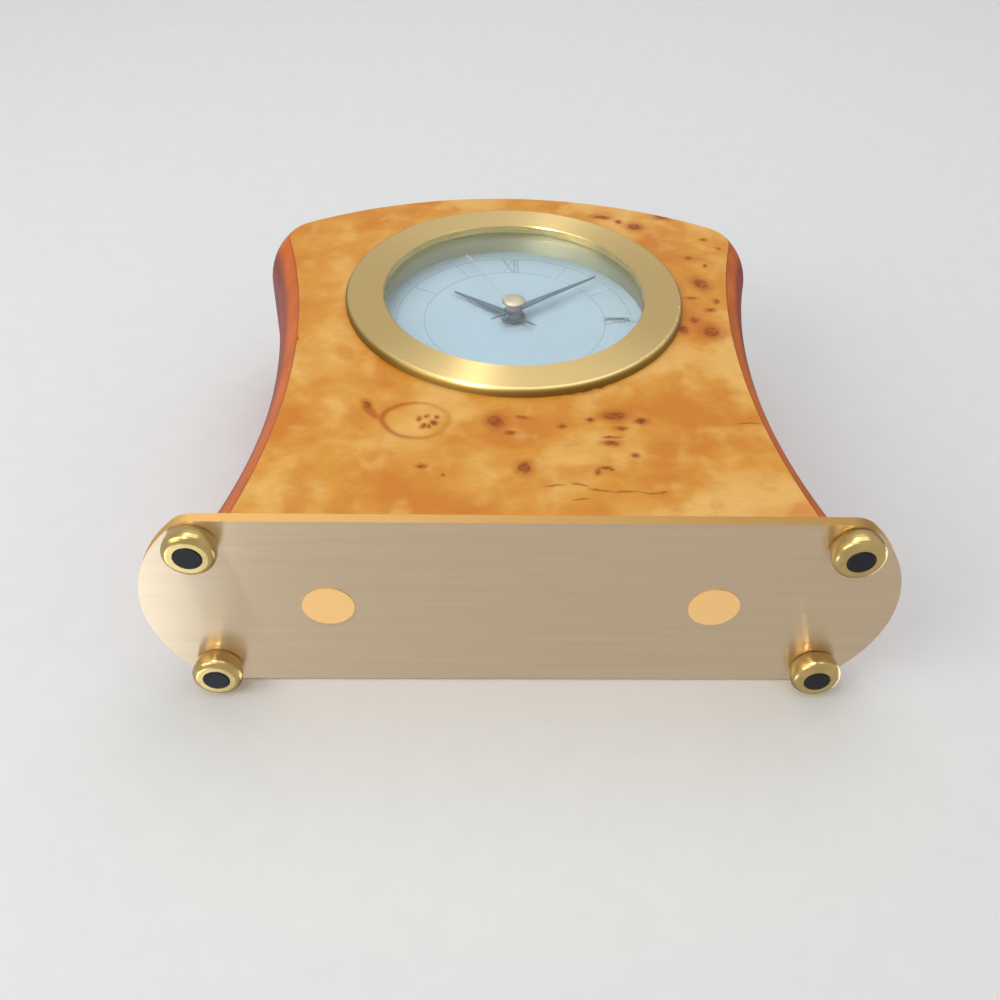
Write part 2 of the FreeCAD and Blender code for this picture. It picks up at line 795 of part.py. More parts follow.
def movement_front_case():
    case = rounded_square(movement_half, movement_corner_radius, movement_s, inner_front_s)
    pieces = [movement_shell(inner_front_s, split_s), partition(inner_front_s, split_s)]
    for side in (1, -1):
        low, high = sorted((side * (movement_half - movement_wall / 2), side * (can_inner - lug_margin)))
        lug = block((low, high), (side * lug_height - lug_half_width, side * lug_height + lug_half_width),
                    (movement_s, movement_s + lug_thickness))
        pieces.append(lug.common(rod(can_inner - easy, movement_s, movement_s + lug_thickness)))
    stud_end = motion_wheel_s + wheel_thickness + loose
    pieces.append(rod(motion_stud_radius, inner_front_s, stud_end, motion_place))
    for place in stator_posts():
        pieces.append(rod(board_post_radius, inner_front_s, stator_s, place))
    case = join(case, *pieces)
    case = case.cut(rod(hour_tube_radius + running, movement_s, inner_front_s))
    for place, radius in ((third_place, train_arbor_radius), (intermediate_place, train_arbor_radius),
                          (rotor_place, rotor_arbor_radius), (knob_place, knob_shaft_radius)):
        case = case.cut(rod(radius + running, inner_front_s - pivot_depth, inner_front_s, place))
    for place in lug_screw_places():
        case = case.cut(rod(lug_screw_radius + easy, movement_s, movement_s + lug_thickness, place))
    return case


def movement_back_case():
    back = rounded_square(movement_half, movement_corner_radius, inner_back_s, cover_s)
    pieces = [movement_shell(split_s, inner_back_s), partition(split_s, inner_back_s)]
    pivots = ((third_place, train_arbor_radius), (intermediate_place, train_arbor_radius),
              (rotor_place, rotor_arbor_radius), ((0.0, 0.0), second_arbor_radius))
    for place, radius in pivots:
        pieces.append(rod(pivot_boss_radius, inner_back_s - pivot_boss_height, inner_back_s, place))
    for place in board_posts():
        pieces.append(rod(board_post_radius, board_s + board_thickness, inner_back_s, place))
    back = join(back, *pieces)
    for place, radius in pivots:
        boss_s = inner_back_s - pivot_boss_height
        back = back.cut(rod(radius + running, boss_s, inner_back_s + pivot_depth, place))
    back = back.cut(rod(knob_shaft_radius + running, inner_back_s, cover_s, knob_place))
    bay = block((-movement_inner_half, movement_inner_half), (bay_bottom, bay_top), (inner_back_s, cover_s))
    back = back.cut(bay)
    for side in (1, -1):
        slot = sorted((side * movement_inner_half, side * (movement_inner_half - 2 * contact_thickness)))
        back = back.cut(block(slot, (bay_top, bay_top + partition_thickness), contact_span()))
    return back


# ---- Rotor drive
def stator_sides():
    return rotor_place[0] - stator_reach, movement_inner_half - stator_margin


def coil_height():
    return movement_inner_half - coil_flange_radius - coil_top_gap


def stator_posts():
    left, right = stator_sides()
    bar_top = rotor_place[1] + stator_bar_height / 2
    middle = (bar_top + coil_height() - coil_flange_radius) / 2
    return [(left + stator_leg_width / 2, middle), (right - stator_leg_width / 2, middle)]


def stator():
    """Soft-iron plate with a hole for the rotor and two legs up to the coil's core."""
    left, right = stator_sides()
    top = coil_height() + core_width / 2
    bar = (rotor_place[1] - stator_bar_height / 2, rotor_place[1] + stator_bar_height / 2)
    span = (stator_s, stator_s + stator_thickness)
    plate = join(block((left, right), bar, span),
                 block((left, left + stator_leg_width), (bar[0], top), span),
                 block((right - stator_leg_width, right), (bar[0], top), span))
    hole = rotor_magnet_radius + rotor_hole_clearance
    return plate.cut(rod(hole, stator_s, stator_s + stator_thickness, rotor_place))


def coil():
    """Winding between two flanges on a flat iron core that bridges the stator's legs."""
    left, right = stator_sides()
    middle = coil_height()
    core_s = stator_s - stator_thickness
    core = block((left, right), (middle - core_width / 2, middle + core_width / 2), (core_s, stator_s))
    start = left + stator_leg_width + easy
    end = right - stator_leg_width - easy
    centre_s = core_s + stator_thickness / 2
    winding = crossbar(coil_radius, start, end, middle, centre_s)
    left_flange = crossbar(coil_flange_radius, start, start + coil_flange_thickness, middle, centre_s)
    right_flange = crossbar(coil_flange_radius, end - coil_flange_thickness, end, middle, centre_s)
    return join(winding, left_flange, right_flange, core)


def rotor():
    magnet_s = stator_s + stator_thickness / 2 - rotor_magnet_length / 2
    arbor = rod(rotor_arbor_radius, arbor_front_s, arbor_back_s, rotor_place)
    magnet = rod(rotor_magnet_radius, magnet_s, magnet_s + rotor_magnet_length, rotor_place)
    teeth = pinion(rotor_pinion_teeth, rotor_module, rotor_pinion_phase, intermediate_wheel_s, rotor_place)
    return join(arbor, magnet, teeth)


# ---- Wheels
def intermediate_wheel():
    arbor = rod(train_arbor_radius, arbor_front_s, arbor_back_s, intermediate_place)
    wheel = gear(intermediate_wheel_teeth, rotor_module, 0, intermediate_wheel_s,
                 intermediate_wheel_s + wheel_thickness, intermediate_place)
    drive = pinion(intermediate_pinion_teeth, second_module, intermediate_pinion_phase, second_wheel_s,
                   intermediate_place)
    return join(arbor, wheel, drive)


def second_wheel():
    """The long centre arbor that carries the second hand, with its wheel and pinion."""
    arbor = rod(second_arbor_radius, second_hand_s - loose, arbor_back_s)
    wheel = gear(second_wheel_teeth, second_module, 0, second_wheel_s, second_wheel_s + wheel_thickness)
    return join(arbor, wheel, pinion(second_pinion_teeth, third_module, 0, third_wheel_s))


def third_wheel():
    arbor = rod(train_arbor_radius, arbor_front_s, arbor_back_s, third_place)
    wheel = gear(third_wheel_teeth, third_module, third_phase, third_wheel_s,
                 third_wheel_s + wheel_thickness, third_place)
    drive = pinion(third_pinion_teeth, centre_module, third_pinion_phase, centre_wheel_s, third_place)
    return join(arbor, wheel, drive)


def centre_wheel():
    """Turns once an hour and carries the minute tube round by friction, so that the hands can be set."""
    return gear(centre_wheel_teeth, centre_module, 0, centre_wheel_s, centre_wheel_s + wheel_thickness,
                bore=minute_tube_radius + running)


def cannon_pinion():
    pipe = rod(minute_tube_radius, pipe_end_s, centre_wheel_s + wheel_thickness + loose)
    body = join(pipe, pinion(cannon_teeth, motion_module, 0, motion_wheel_s))
    return body.cut(rod(second_arbor_radius + running, pipe_end_s,
                        centre_wheel_s + wheel_thickness + loose))


def motion_wheel():
    wheel = gear(motion_wheel_teeth, motion_module, motion_phase, motion_wheel_s,
                 motion_wheel_s + wheel_thickness, motion_place)
    drive = gear(motion_pinion_teeth, hour_module, motion_pinion_phase, hour_wheel_s - pinion_overlap,
                 motion_wheel_s, motion_place)
    return join(wheel, drive).cut(rod(motion_stud_radius + running, inner_front_s,
                                      motion_wheel_s + wheel_thickness, motion_place))


def hour_wheel():
    pipe = rod(hour_tube_radius, hour_hand_s - easy, hour_wheel_s)
    wheel = gear(hour_wheel_teeth, hour_module, 0, hour_wheel_s, hour_wheel_s + wheel_thickness)
    return join(pipe, wheel).cut(rod(minute_tube_radius + running, hour_hand_s - easy,
                                     hour_wheel_s + wheel_thickness))


def setting_knob():
    """Turned by hand at the back: it sets the time through the motion wheel."""
    knob_s = cover_s + loose
    shaft = rod(knob_shaft_radius, arbor_front_s, knob_s, knob_place)
    teeth = pinion(knob_teeth, motion_module, knob_phase, motion_wheel_s, knob_place)
    knob = rod(knob_radius, knob_s, knob_s + knob_height, knob_place)
    grooves = []
    for groove in range(knob_groove_count):
        place = polar(groove * 360 / knob_groove_count, knob_radius, knob_place)
        grooves.append(rod(knob_groove_radius, knob_s, knob_s + knob_height, place))
    return join(shaft, teeth, knob.cut(grooves))


# ---- Power
def battery():
    cell = crossbar(battery_radius, -battery_end, battery_end, battery_w, battery_s)
    nub = crossbar(battery_nub_radius, battery_end, battery_end + battery_nub_length, battery_w, battery_s)
    return join(cell, nub)


def contact_span():
    return board_s - strip_depth, board_s


def contact_plate(inner, outer):
    return block((inner, outer), (battery_w - contact_half_width, battery_w + contact_half_width),
                 (battery_s - contact_depth, board_s))


def negative_contact():
    """Plate in the bay with a sprung tongue against the cell, and a tail up to the board."""
    outer = -movement_inner_half
    inner = outer + contact_thickness
    span = contact_span()
    spring_root = contact_half_width - contact_thickness
    tongue = slab([(inner, battery_w - spring_root), (-battery_end, battery_w - contact_thickness),
                   (-battery_end, battery_w + contact_thickness), (inner, battery_w + spring_root),
                   (inner, battery_w + spring_root - 2 * contact_thickness),
                   (-battery_end - contact_thickness, battery_w),
                   (inner, battery_w - spring_root + 2 * contact_thickness)],
                  battery_s - contact_depth / 2, battery_s + contact_depth / 2)
    tail = block((outer, inner), (battery_w + contact_half_width, board_bottom() + strip_depth), span)
    foot_strip = block((outer, board_left() + strip_depth), (board_bottom(), board_bottom() + strip_depth),
                       (board_s - contact_thickness, board_s))
    return join(contact_plate(outer, inner), tongue, tail, foot_strip)


def positive_contact():
    """Plate that the cell's button touches, with a strip along the bay's wall to the board."""
    outer = movement_inner_half
    inner = outer - contact_thickness
    span = contact_span()
    strip_low = bay_top + partition_thickness
    riser = block((inner, outer), (battery_w + contact_half_width, strip_low), span)
    pip = crossbar(battery_nub_radius / 2, battery_end + battery_nub_length, inner, battery_w, battery_s)
    tab_left = board_right() - 2 * strip_depth
    strip = block((tab_left, outer), (strip_low, strip_low + contact_thickness), span)
    tab = block((tab_left, tab_left + strip_depth), (strip_low, board_bottom() + strip_depth),
                (board_s - contact_thickness, board_s))
    return join(contact_plate(inner, outer), riser, pip, strip, tab)


def board_left():
    return -movement_inner_half + 2 * contact_thickness


def board_right():
    return knob_place[0] - knob_shaft_radius - board_margin


def board_bottom():
    return bay_top + partition_thickness + contact_thickness + board_lift


def board_top():
    return movement_inner_half - board_margin


def board_posts():
    middle = (board_left() + board_right()) / 2
    height = board_top() - board_bottom()
    return [(middle, board_bottom() + height * 0.3), (middle, board_top() - 3 * board_post_radius)]


def circuit_board():
    """Board with the sealed chip and the quartz crystal's can."""
    left = board_left()
    low = board_bottom()
    middle = (left + board_right()) / 2
    board = block((left, board_right()), (low, board_top()), (board_s, board_s + board_thickness))
    chip_radius = 2.6
    chip_height = 1.0
    chip = turned([(0, board_s - chip_height), (chip_radius * 0.6, board_s - chip_height * 0.8),
                   (chip_radius, board_s), (0, board_s)], at(middle, (low + board_top()) / 2, 0), BACKWARD)
    crystal_radius = 1.0
    crystal_length = 6.0
    crystal = crossbar(crystal_radius, middle - crystal_length / 2, middle + crystal_length / 2,
                       low + 4 * crystal_radius, board_s - crystal_radius * 0.8)
    return join(board, chip, crystal)


# ---- Hands
def along_hand(outline, angle):
    """Turns an outline of (across, along) steps to the angle at which the hand points."""
    turn = math.radians(angle)
    points = []
    for across, along in outline:
        points.append((along * math.sin(turn) + across * math.cos(turn),
                       along * math.cos(turn) - across * math.sin(turn)))
    return points


def lance(length, tail, width, hub_radius, angle, s0):
    """Tapered hand with a pointed tail and a round hub."""
    swell = hub_radius * 1.35
    tip = hand_tip_width / 2
    half_outline = [(tip, length - tip), (width / 2, swell), (width * 0.36, 0), (width * 0.26, -hub_radius)]
    mirrored = [(-across, along) for across, along in reversed(half_outline)]
    outline = [(0, length)] + half_outline + [(0, -tail)] + mirrored
    blade = slab(along_hand(outline, angle), s0, s0 + hand_sheet)
    return join(blade, rod(hub_radius, s0, s0 + hand_sheet))


def hour_hand():
    hand = lance(hour_hand_length, hour_hand_tail, hour_hand_width, hour_hub_radius, hour_hand_angle,
                 hour_hand_s)
    return hand.cut(rod(hour_tube_radius, hour_hand_s, hour_hand_s + hand_sheet))


def minute_hand():
    hand = lance(minute_hand_length, minute_hand_tail, minute_hand_width, minute_hub_radius,
                 minute_hand_angle, minute_hand_s)
    return hand.cut(rod(minute_tube_radius, minute_hand_s, minute_hand_s + hand_sheet))


def second_hand():
    """Needle on a collet, the short tube that grips the centre arbor."""
    half = second_hand_width / 2
    outline = [(-half * 0.6, second_hand_length), (half * 0.6, second_hand_length), (half, 0),
               (half, -second_hand_tail), (-half, -second_hand_tail), (-half, 0)]
    points = along_hand(outline, second_hand_angle)
    needle = slab(points, second_hand_s, second_hand_s + second_hand_sheet)
    hand = join(needle, rod(collet_radius, second_hand_s, collet_end_s))
    return hand.cut(rod(second_arbor_radius, second_hand_s, collet_end_s))


def second_hand_cap():
    """Flat cap with a rounded rim, on a stem that covers the end of the centre arbor."""
    rim_s = cap_front_s + cap_height
    profile = [(0, cap_front_s), (cap_radius * 0.6, cap_front_s + cap_height * 0.06),
               (cap_radius * 0.86, cap_front_s + cap_height * 0.24),
               (cap_radius * 0.97, cap_front_s + cap_height * 0.5),
               (cap_radius, cap_front_s + cap_height * 0.8), (cap_radius, rim_s),
               (cap_stem_radius, rim_s), (cap_stem_radius, second_hand_s),
               (second_arbor_radius, second_hand_s), (second_arbor_radius, second_hand_s - loose),
               (0, second_hand_s - loose)]
    return turned(profile, at(0, 0, 0), BACKWARD)


# ---- Write every piece
def main():
    pieces = {
        "base_plate": base_plate(),
        "foot_screws": Part.makeCompound([foot_screw(x, y) for x, y in foot_places().values()]),
        "body_screws": Part.makeCompound([body_screw(x) for x in (-body_screw_x, body_screw_x)]),
        "screw_cover_left": screw_cover(-body_screw_x),
        "screw_cover_right": screw_cover(body_screw_x),
        "wooden_body": wooden_body(),
        "burl_veneer": burl_veneer(),
        "bezel": bezel(),
        "glass": glass(),
        "glass_gasket": glass_gasket(),
        "reflector_ring": reflector_ring(),
        "dial": dial(),
        "insert_can": insert_can(),
        "retaining_band": retaining_band(),
        "back_cover": back_cover(),
        "back_cover_screws": Part.makeCompound([cover_screw(place) for place in can_boss_places()]),
        "movement_screws": Part.makeCompound([lug_screw(place) for place in lug_screw_places()]),
        "calendar_plate": calendar_plate(),
        "date_ring": date_ring(),
        "date_pinion": date_pinion(),
        "date_wheel": date_wheel(),
        "date_jumper": date_jumper(),
        "movement_front_case": movement_front_case(),
        "movement_back_case": movement_back_case(),
        "stator": stator(),
        "coil": coil(),
        "rotor": rotor(),
        "intermediate_wheel": intermediate_wheel(),
        "second_wheel": second_wheel(),
        "third_wheel": third_wheel(),
        "centre_wheel": centre_wheel(),
        "cannon_pinion": cannon_pinion(),
        "motion_wheel": motion_wheel(),
        "hour_wheel": hour_wheel(),
        "setting_knob": setting_knob(),
        "battery": battery(),
        "battery_contact_negative": negative_contact(),
        "battery_contact_positive": positive_contact(),
        "circuit_board": circuit_board(),
        "hour_hand": hour_hand(),
        "minute_hand": minute_hand(),
        "second_hand": second_hand(),
        "second_hand_cap": second_hand_cap(),
    }
    for corner, (x, y) in foot_places().items():
        pieces["foot_" + corner] = foot(x, y)
        pieces["foot_pad_" + corner] = foot_pad(x, y)
    for name, shape in pieces.items():
        export(name, shape)


main()
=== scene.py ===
"""Finishes and small details of a desk clock with a calendar: brass base, burl veneered case, quartz insert."""

import math

import bpy
from mathutils import Matrix, Vector


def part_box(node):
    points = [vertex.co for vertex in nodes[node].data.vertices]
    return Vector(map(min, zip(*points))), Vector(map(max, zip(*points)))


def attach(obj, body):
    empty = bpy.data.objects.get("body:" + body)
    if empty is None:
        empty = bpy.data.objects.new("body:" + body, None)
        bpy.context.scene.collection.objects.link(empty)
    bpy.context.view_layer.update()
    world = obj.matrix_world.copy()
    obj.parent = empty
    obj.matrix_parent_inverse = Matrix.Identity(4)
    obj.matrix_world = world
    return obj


bl_info = {
    "name": "Desk Clock Finishes",
    "version": (1, 0, 0),
    "blender": (4, 5, 0),
    "location": "View3D > Sidebar > Desk Clock",
    "description": "Dresses the desk clock's parts in brass, burl veneer, lacquered wood, glass and enamel",
    "category": "Object",
}

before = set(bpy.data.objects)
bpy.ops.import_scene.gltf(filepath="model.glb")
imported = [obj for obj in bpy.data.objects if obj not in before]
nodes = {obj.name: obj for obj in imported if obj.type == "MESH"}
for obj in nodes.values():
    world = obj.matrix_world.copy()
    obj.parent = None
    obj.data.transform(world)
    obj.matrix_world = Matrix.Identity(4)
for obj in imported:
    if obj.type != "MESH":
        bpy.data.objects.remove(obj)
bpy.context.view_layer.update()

MM = 0.001


def linear(hex_colour):
    """An sRGB hex colour as linear red, green and blue."""
    channels = [int(hex_colour[i:i + 2], 16) / 255 for i in (1, 3, 5)]
    return tuple(c / 12.92 if c <= 0.04045 else ((c + 0.055) / 1.055) ** 2.4 for c in channels)


def middle_of(node):
    low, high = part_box(node)
    return (low + high) / 2


# The dial's centre, and the faces that carry print or bound a finish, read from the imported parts
dial_centre = middle_of("dial")
# The print sits a little to the right on the dial, as a stamped dial's often does
print_centre = dial_centre + Vector((0.45 * MM, 0.0, 0.0))
dial_face_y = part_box("dial")[0].y
date_face_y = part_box("date_ring")[0].y
case_front_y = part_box("wooden_body")[0].y
plate_back_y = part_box("base_plate")[1].y

# The wave texture draws 20 bands in each unit of its scale
WAVES_PER_UNIT = 20
# Width of the bezel's outer rim that is painted dull olive, a painted dark reflection
DARK_RIM_WIDTH = 1.0 * MM
SLEEVE_BAND = 9 * MM
BACKDROP_GAP = 0.4 * MM
CIRCLE_STEPS = 180
SERIF_WIDTH = 0.95 * MM
# How far the strokes of a V reach to each side, as a part of its height, and how much less those of an X do
V_REACH = 0.23
X_REACH = 0.85
# How far out from the inner circle a numeral's middle stands, as a part of its height
NUMERAL_MIDDLE = 0.46
DAYS = 31
DAY_SHOWN = 24
# The date figures' radius as a part of their ring's, their width against the font's, a capital's height in it
FIGURE_RADIUS = 0.905
FIGURE_WIDTH = 0.8
CAPITAL_HEIGHT = 0.7


# ---- Sizes and colours that a user may change
def length_property(name, description, default):
    return bpy.props.FloatProperty(name=name, description=description, default=default, min=0.0, unit="LENGTH")


def colour_property(name, description, hex_colour):
    return bpy.props.FloatVectorProperty(name=name, description=description, default=linear(hex_colour),
                                         subtype="COLOR", size=3, min=0.0, max=1.0)


class ClockPrintSizes(bpy.types.PropertyGroup):
    outer_circle: length_property("Outer chapter circle", "Radius of the outer printed circle", 32.4 * MM)
    inner_circle: length_property("Inner chapter circle", "Radius of the inner printed circle", 24.8 * MM)
    line_width: length_property("Line width", "Width of the printed circles and hour lines", 0.28 * MM)
    numeral_height: length_property("Numeral height", "Height of the Roman numerals", 7.4 * MM)
    thick_stroke: length_property("Thick stroke", "Width of a numeral's thick strokes", 0.65 * MM)
    thin_stroke: length_property("Thin stroke", "Width of a numeral's thin strokes and serifs", 0.36 * MM)
    ink_height: length_property("Ink height", "How far the ink stands on the dial", 0.02 * MM)
    date_height: length_property("Date height", "Height of the calendar's figures", 2.3 * MM)


class ClockColours(bpy.types.PropertyGroup):
    plate: colour_property("Base plate", "Brushed faces of the brass plate", "#e0c9a9")
    plate_edge: colour_property("Plate edge", "Dull sawn edge of the brass plate", "#c6a266")
    brass: colour_property("Feet", "Turned and polished brass", "#cdb274")
    bezel: colour_property("Bezel", "Circularly brushed brass", "#dfc385")
    sticker: colour_property("Screw covers", "Round foil covers", "#ffcb80")
    burl_pale: colour_property("Burl, pale", "Palest figure of the burl veneer", "#f8bf68")
    burl_middle: colour_property("Burl, middle", "Ground colour of the burl veneer", "#eba23e")
    burl_deep: colour_property("Burl, deep", "Deepest clouds of the burl veneer", "#e08a2e")
    burl_rust: colour_property("Burl, rust", "Warm rims and thin lines round the burl's pips", "#c05c10")
    burl_knot: colour_property("Burl, knots", "Cores of the burl's pips", "#9c4a08")
    mahogany: colour_property("Case wood", "Stained wood of the sides and back", "#9c3a22")
    edge_stain: colour_property("Case edge", "Stained edge beside the veneer", "#dc6a08")
    dial: colour_property("Dial", "Enamelled dial", "#9eafba")
    ink: colour_property("Ink", "Dial printing", "#84929a")
    hands: colour_property("Hands", "Hour and minute hand", "#3f545e")
    second_hand: colour_property("Second hand", "Second hand and its collet", "#b3a3a9")


class ClockStage(bpy.types.PropertyGroup):
    surface: colour_property("Surface", "Floor and the surface behind the clock", "#f4f4f2")
    floor_size: length_property("Floor size", "Side of the square floor", 3.0)
    lens: bpy.props.FloatProperty(name="Lens", description="Focal length of the camera in mm", default=38.397,
                                  min=1.0)


# ---- Nodes
def add_node(tree, kind, settings=()):
    """Adds one shader node. Settings fill its sockets and options; where a value is a socket, it is linked."""
    node = tree.nodes.new("ShaderNode" + kind)
    for key, value in dict(settings).items():
        if isinstance(value, bpy.types.NodeSocket):
            tree.links.new(value, node.inputs[key])
        elif isinstance(key, int) or key in node.inputs:
            node.inputs[key].default_value = value
        else:
            setattr(node, key, value)
    return node


def grey(level):
    return (level, level, level)


def tinted(colour, factor):
    return tuple(min(1.0, c * factor) for c in colour)


def noise(tree, place, size_mm, detail=2.0, lean=0.0, **settings):
    """Noise in waves of size_mm, or of three sizes along X, Y and Z that lean by an angle."""
    scale = 1.0
    if isinstance(size_mm, tuple):
        stretch = {"Scale": tuple(1000 / size for size in size_mm), "Rotation": (0.0, lean, 0.0)}
        place = add_node(tree, "Mapping", {"Vector": place, **stretch}).outputs[0]
    else:
        scale = 1000 / size_mm
    settings = {"Scale": scale, "Detail": detail, "Vector": place, **settings}
    return add_node(tree, "TexNoise", settings).outputs[0]


def worked_out(tree, operation, *parts):
    """One step of arithmetic; each part is a number or a socket."""
    return add_node(tree, "Math", {"operation": operation, **dict(enumerate(parts))}).outputs[0]


def along(tree, vector, axis):
    return add_node(tree, "SeparateXYZ", {0: vector}).outputs[axis]


def spread(tree, value, low, high, start=0.0, finish=1.0):
    """Runs evenly from low to high while the value runs from start to finish."""
    return add_node(tree, "MapRange", {"From Min": start, "From Max": finish, "To Min": low, "To Max": high,
                                       "Value": value}).outputs[0]


def soft_step(tree, value, start, finish, most):
    """Rises smoothly from 0 at start to the given amount at finish."""
    return add_node(tree, "MapRange", {"From Min": start, "From Max": finish, "To Max": most,
                                       "interpolation_type": "SMOOTHSTEP", "Value": value}).outputs[0]


def ramp(tree, amount, *stops):
    """A colour that changes with an amount; each stop is a place and a colour."""
    node = add_node(tree, "ValToRGB", {"Fac": amount})
    elements = node.color_ramp.elements
    while len(elements) < len(stops):
        elements.new(0.5)
    for element, (position, colour) in zip(elements, stops):
        element.position = position
        element.color = (*colour, 1.0)
    return node.outputs[0]


def clouded(tree, amount, colour, darkest, palest):
    """A colour that runs between two tints of itself over the middle of a noise's range."""
    return ramp(tree, amount, (0.3, tinted(colour, darkest)), (0.7, tinted(colour, palest)))


def painted_over(tree, below, colour, amount):
    """One colour laid over another by an amount that changes over the surface; either may be a fixed colour."""
    below, colour = ((*paint, 1.0) if isinstance(paint, tuple) else paint for paint in (below, colour))
    return add_node(tree, "Mix", {"data_type": "RGBA", 0: amount, 6: below, 7: colour}).outputs[2]


def scaled(tree, colour, factor):
    return add_node(tree, "VectorMath", {"operation": "SCALE", 0: colour, "Scale": factor}).outputs[0]


def from_axis(tree, place):
    """The place seen from the dial's axis, without its depth, and its distance from that axis."""
    centred = add_node(tree, "Mapping", {"Location": (-dial_centre.x, 0.0, -dial_centre.z),
                                         "Scale": (1.0, 0.0, 1.0), "Vector": place}).outputs[0]
    return centred, add_node(tree, "VectorMath", {"operation": "LENGTH", 0: centred}).outputs["Value"]


# ---- Materials
def start_material(name, colour, **settings):
    """A material with one Principled shader, and the Object coordinates that its patterns read."""
    material = bpy.data.materials.new(name)
    material.use_nodes = True
    tree = material.node_tree
    tree.nodes.clear()
    shader = add_node(tree, "BsdfPrincipled", {"Base Color": (*colour, 1.0), **settings})
    add_node(tree, "OutputMaterial", {"Surface": shader.outputs[0]})
    place = add_node(tree, "TexCoord").outputs["Object"]
    return material, tree, shader, place


def feed(tree, shader, socket, source):
    tree.links.new(source, shader.inputs[socket])


def raised(tree, shader, height, strength, depth_mm, socket="Normal"):
    """Lets a pattern stand out of the surface by up to depth_mm."""
    bump = add_node(tree, "Bump", {"Strength": strength, "Distance": depth_mm * MM, "Height": height})
    feed(tree, shader, socket, bump.outputs[0])


def lacquer_waves(tree, shader, place):
    """The faint waves, 6 mm long, of a hand-rubbed lacquer."""
    raised(tree, shader, noise(tree, place, 6), 0.06, 0.05, "Coat Normal")


def clear_where(tree, shader, amount, colour):
    """Lets light straight through the surface where the amount is 1."""
    clear = add_node(tree, "BsdfTransparent", {"Color": (*colour, 1.0)})
    mixed = add_node(tree, "MixShader", {0: amount, 1: shader.outputs[0], 2: clear.outputs[0]})
    output = next(node for node in tree.nodes if node.type == "OUTPUT_MATERIAL")
    tree.links.new(mixed.outputs[0], output.inputs["Surface"])


def brushed_plate_brass(colours):
    """Cartridge brass sheet, satin brushed along its length: long soft streaks, highlights drawn out across
    them. Its sawn edge is darker and dull."""
    plate, plate_edge = tuple(colours.plate), tuple(colours.plate_edge)
    material, tree, shader, place = start_material("brushed cartridge brass", plate, Metallic=1.0,
                                                   Roughness=0.32, Anisotropic=0.9)
    # Brushing scratches are 0.05 mm wide, drawn 0.2 mm wide so that they show, and 10 to 30 mm long
    lines = noise(tree, place, (18, 0.2, 0.2), 4.0, Roughness=0.65)
    broad = noise(tree, place, (70, 2.5, 2.5))
    both = add_node(tree, "Mix", {0: 0.3, 2: lines, 3: broad}).outputs[0]
    shade = ramp(tree, both, (0.32, tinted(plate, 0.92)), (0.68, tinted(plate, 1.05)))
    # The brushed faces look straight up or down, and the edge sideways
    normal = add_node(tree, "NewGeometry").outputs["Normal"]
    is_face = spread(tree, worked_out(tree, "ABSOLUTE", along(tree, normal, "Z")), 0.0, 1.0, 0.5, 0.9)
    feed(tree, shader, "Base Color", painted_over(tree, plate_edge, shade, is_face))
    gloss = spread(tree, lines, 0.28, 0.36)
    softer_edge = add_node(tree, "Mix", {0: is_face, 2: 0.9, 3: gloss})
    feed(tree, shader, "Roughness", softer_edge.outputs[0])
    raised(tree, shader, lines, 0.2, 0.02)
    # Square to the brushing on every face; the small upward part keeps it whole on the plate's ends
    across = add_node(tree, "VectorMath", {"operation": "CROSS_PRODUCT", 0: normal, 1: (1.0, 0.0, 0.2)})
    feed(tree, shader, "Tangent", across.outputs[0])
    return material


def turned_brass(name, colour, roughness, ring_mm):
    """Free-cutting brass turned on a lathe and polished: faint rings round the axis, deep gold reflections."""
    material, tree, shader, place = start_material(name, colour, Metallic=1.0, Roughness=roughness)
    rings = noise(tree, place, (12, 12, ring_mm), 3.0)
    tarnish = noise(tree, place, 4, 3.0)
    feed(tree, shader, "Base Color", clouded(tree, tarnish, colour, 0.85, 1.05))
    feed(tree, shader, "Roughness", spread(tree, rings, roughness * 0.7, roughness * 1.4))
    raised(tree, shader, rings, 0.25, 0.01)
    return material


def spun_brass(name, colour, roughness, line_mm, across, rim=1.0):
    """Brass brushed while it spins: fine rings round the dial's axis draw the light out into bow-tie streaks.
    Past the radius given as rim, in metres, it is painted a dull olive, a painted dark reflection, and it is
    rougher there."""
    material, tree, shader, place = start_material(name, colour, Metallic=1.0, Roughness=roughness,
                                                   Anisotropic=across, **{"Anisotropic Rotation": 0.25})
    # The rings follow one another outwards and in depth, and change slowly on their way round
    centred, radius = from_axis(tree, place)
    fine = worked_out(tree, "MULTIPLY", radius, 1000 / line_mm)
    deep = worked_out(tree, "MULTIPLY_ADD", along(tree, place, "Y"), 1000 / line_mm, fine)
    around = add_node(tree, "VectorMath", {"operation": "NORMALIZE", 0: centred}).outputs[0]
    turn = add_node(tree, "SeparateXYZ", {0: around})
    rings_place = add_node(tree, "CombineXYZ", {0: turn.outputs["X"], 1: deep, 2: turn.outputs["Z"]}).outputs[0]
    rings = add_node(tree, "TexNoise", {"Scale": 1.0, "Detail": 3.0, "Roughness": 0.6,
                                        "Vector": rings_place}).outputs[0]
    # Painted dark reflection: past the rim the colour turns to a dull olive, and the roughness rises by 0.25
    dark_rim = soft_step(tree, radius, rim, rim + 0.9 * MM, 1.0)
    dull = tuple(c * part for c, part in zip(colour, (0.42, 0.36, 0.18)))
    shade = clouded(tree, rings, colour, 0.96, 1.03)
    feed(tree, shader, "Base Color", painted_over(tree, shade, dull, dark_rim))
    gloss = spread(tree, rings, roughness * 0.9, roughness * 1.1)
    feed(tree, shader, "Roughness", worked_out(tree, "MULTIPLY_ADD", dark_rim, 0.25, gloss))
    raised(tree, shader, rings, 0.04, 0.01)
    tangent = add_node(tree, "Tangent", {"direction_type": "RADIAL", "axis": "Y"})
    feed(tree, shader, "Tangent", tangent.outputs[0])
    return material


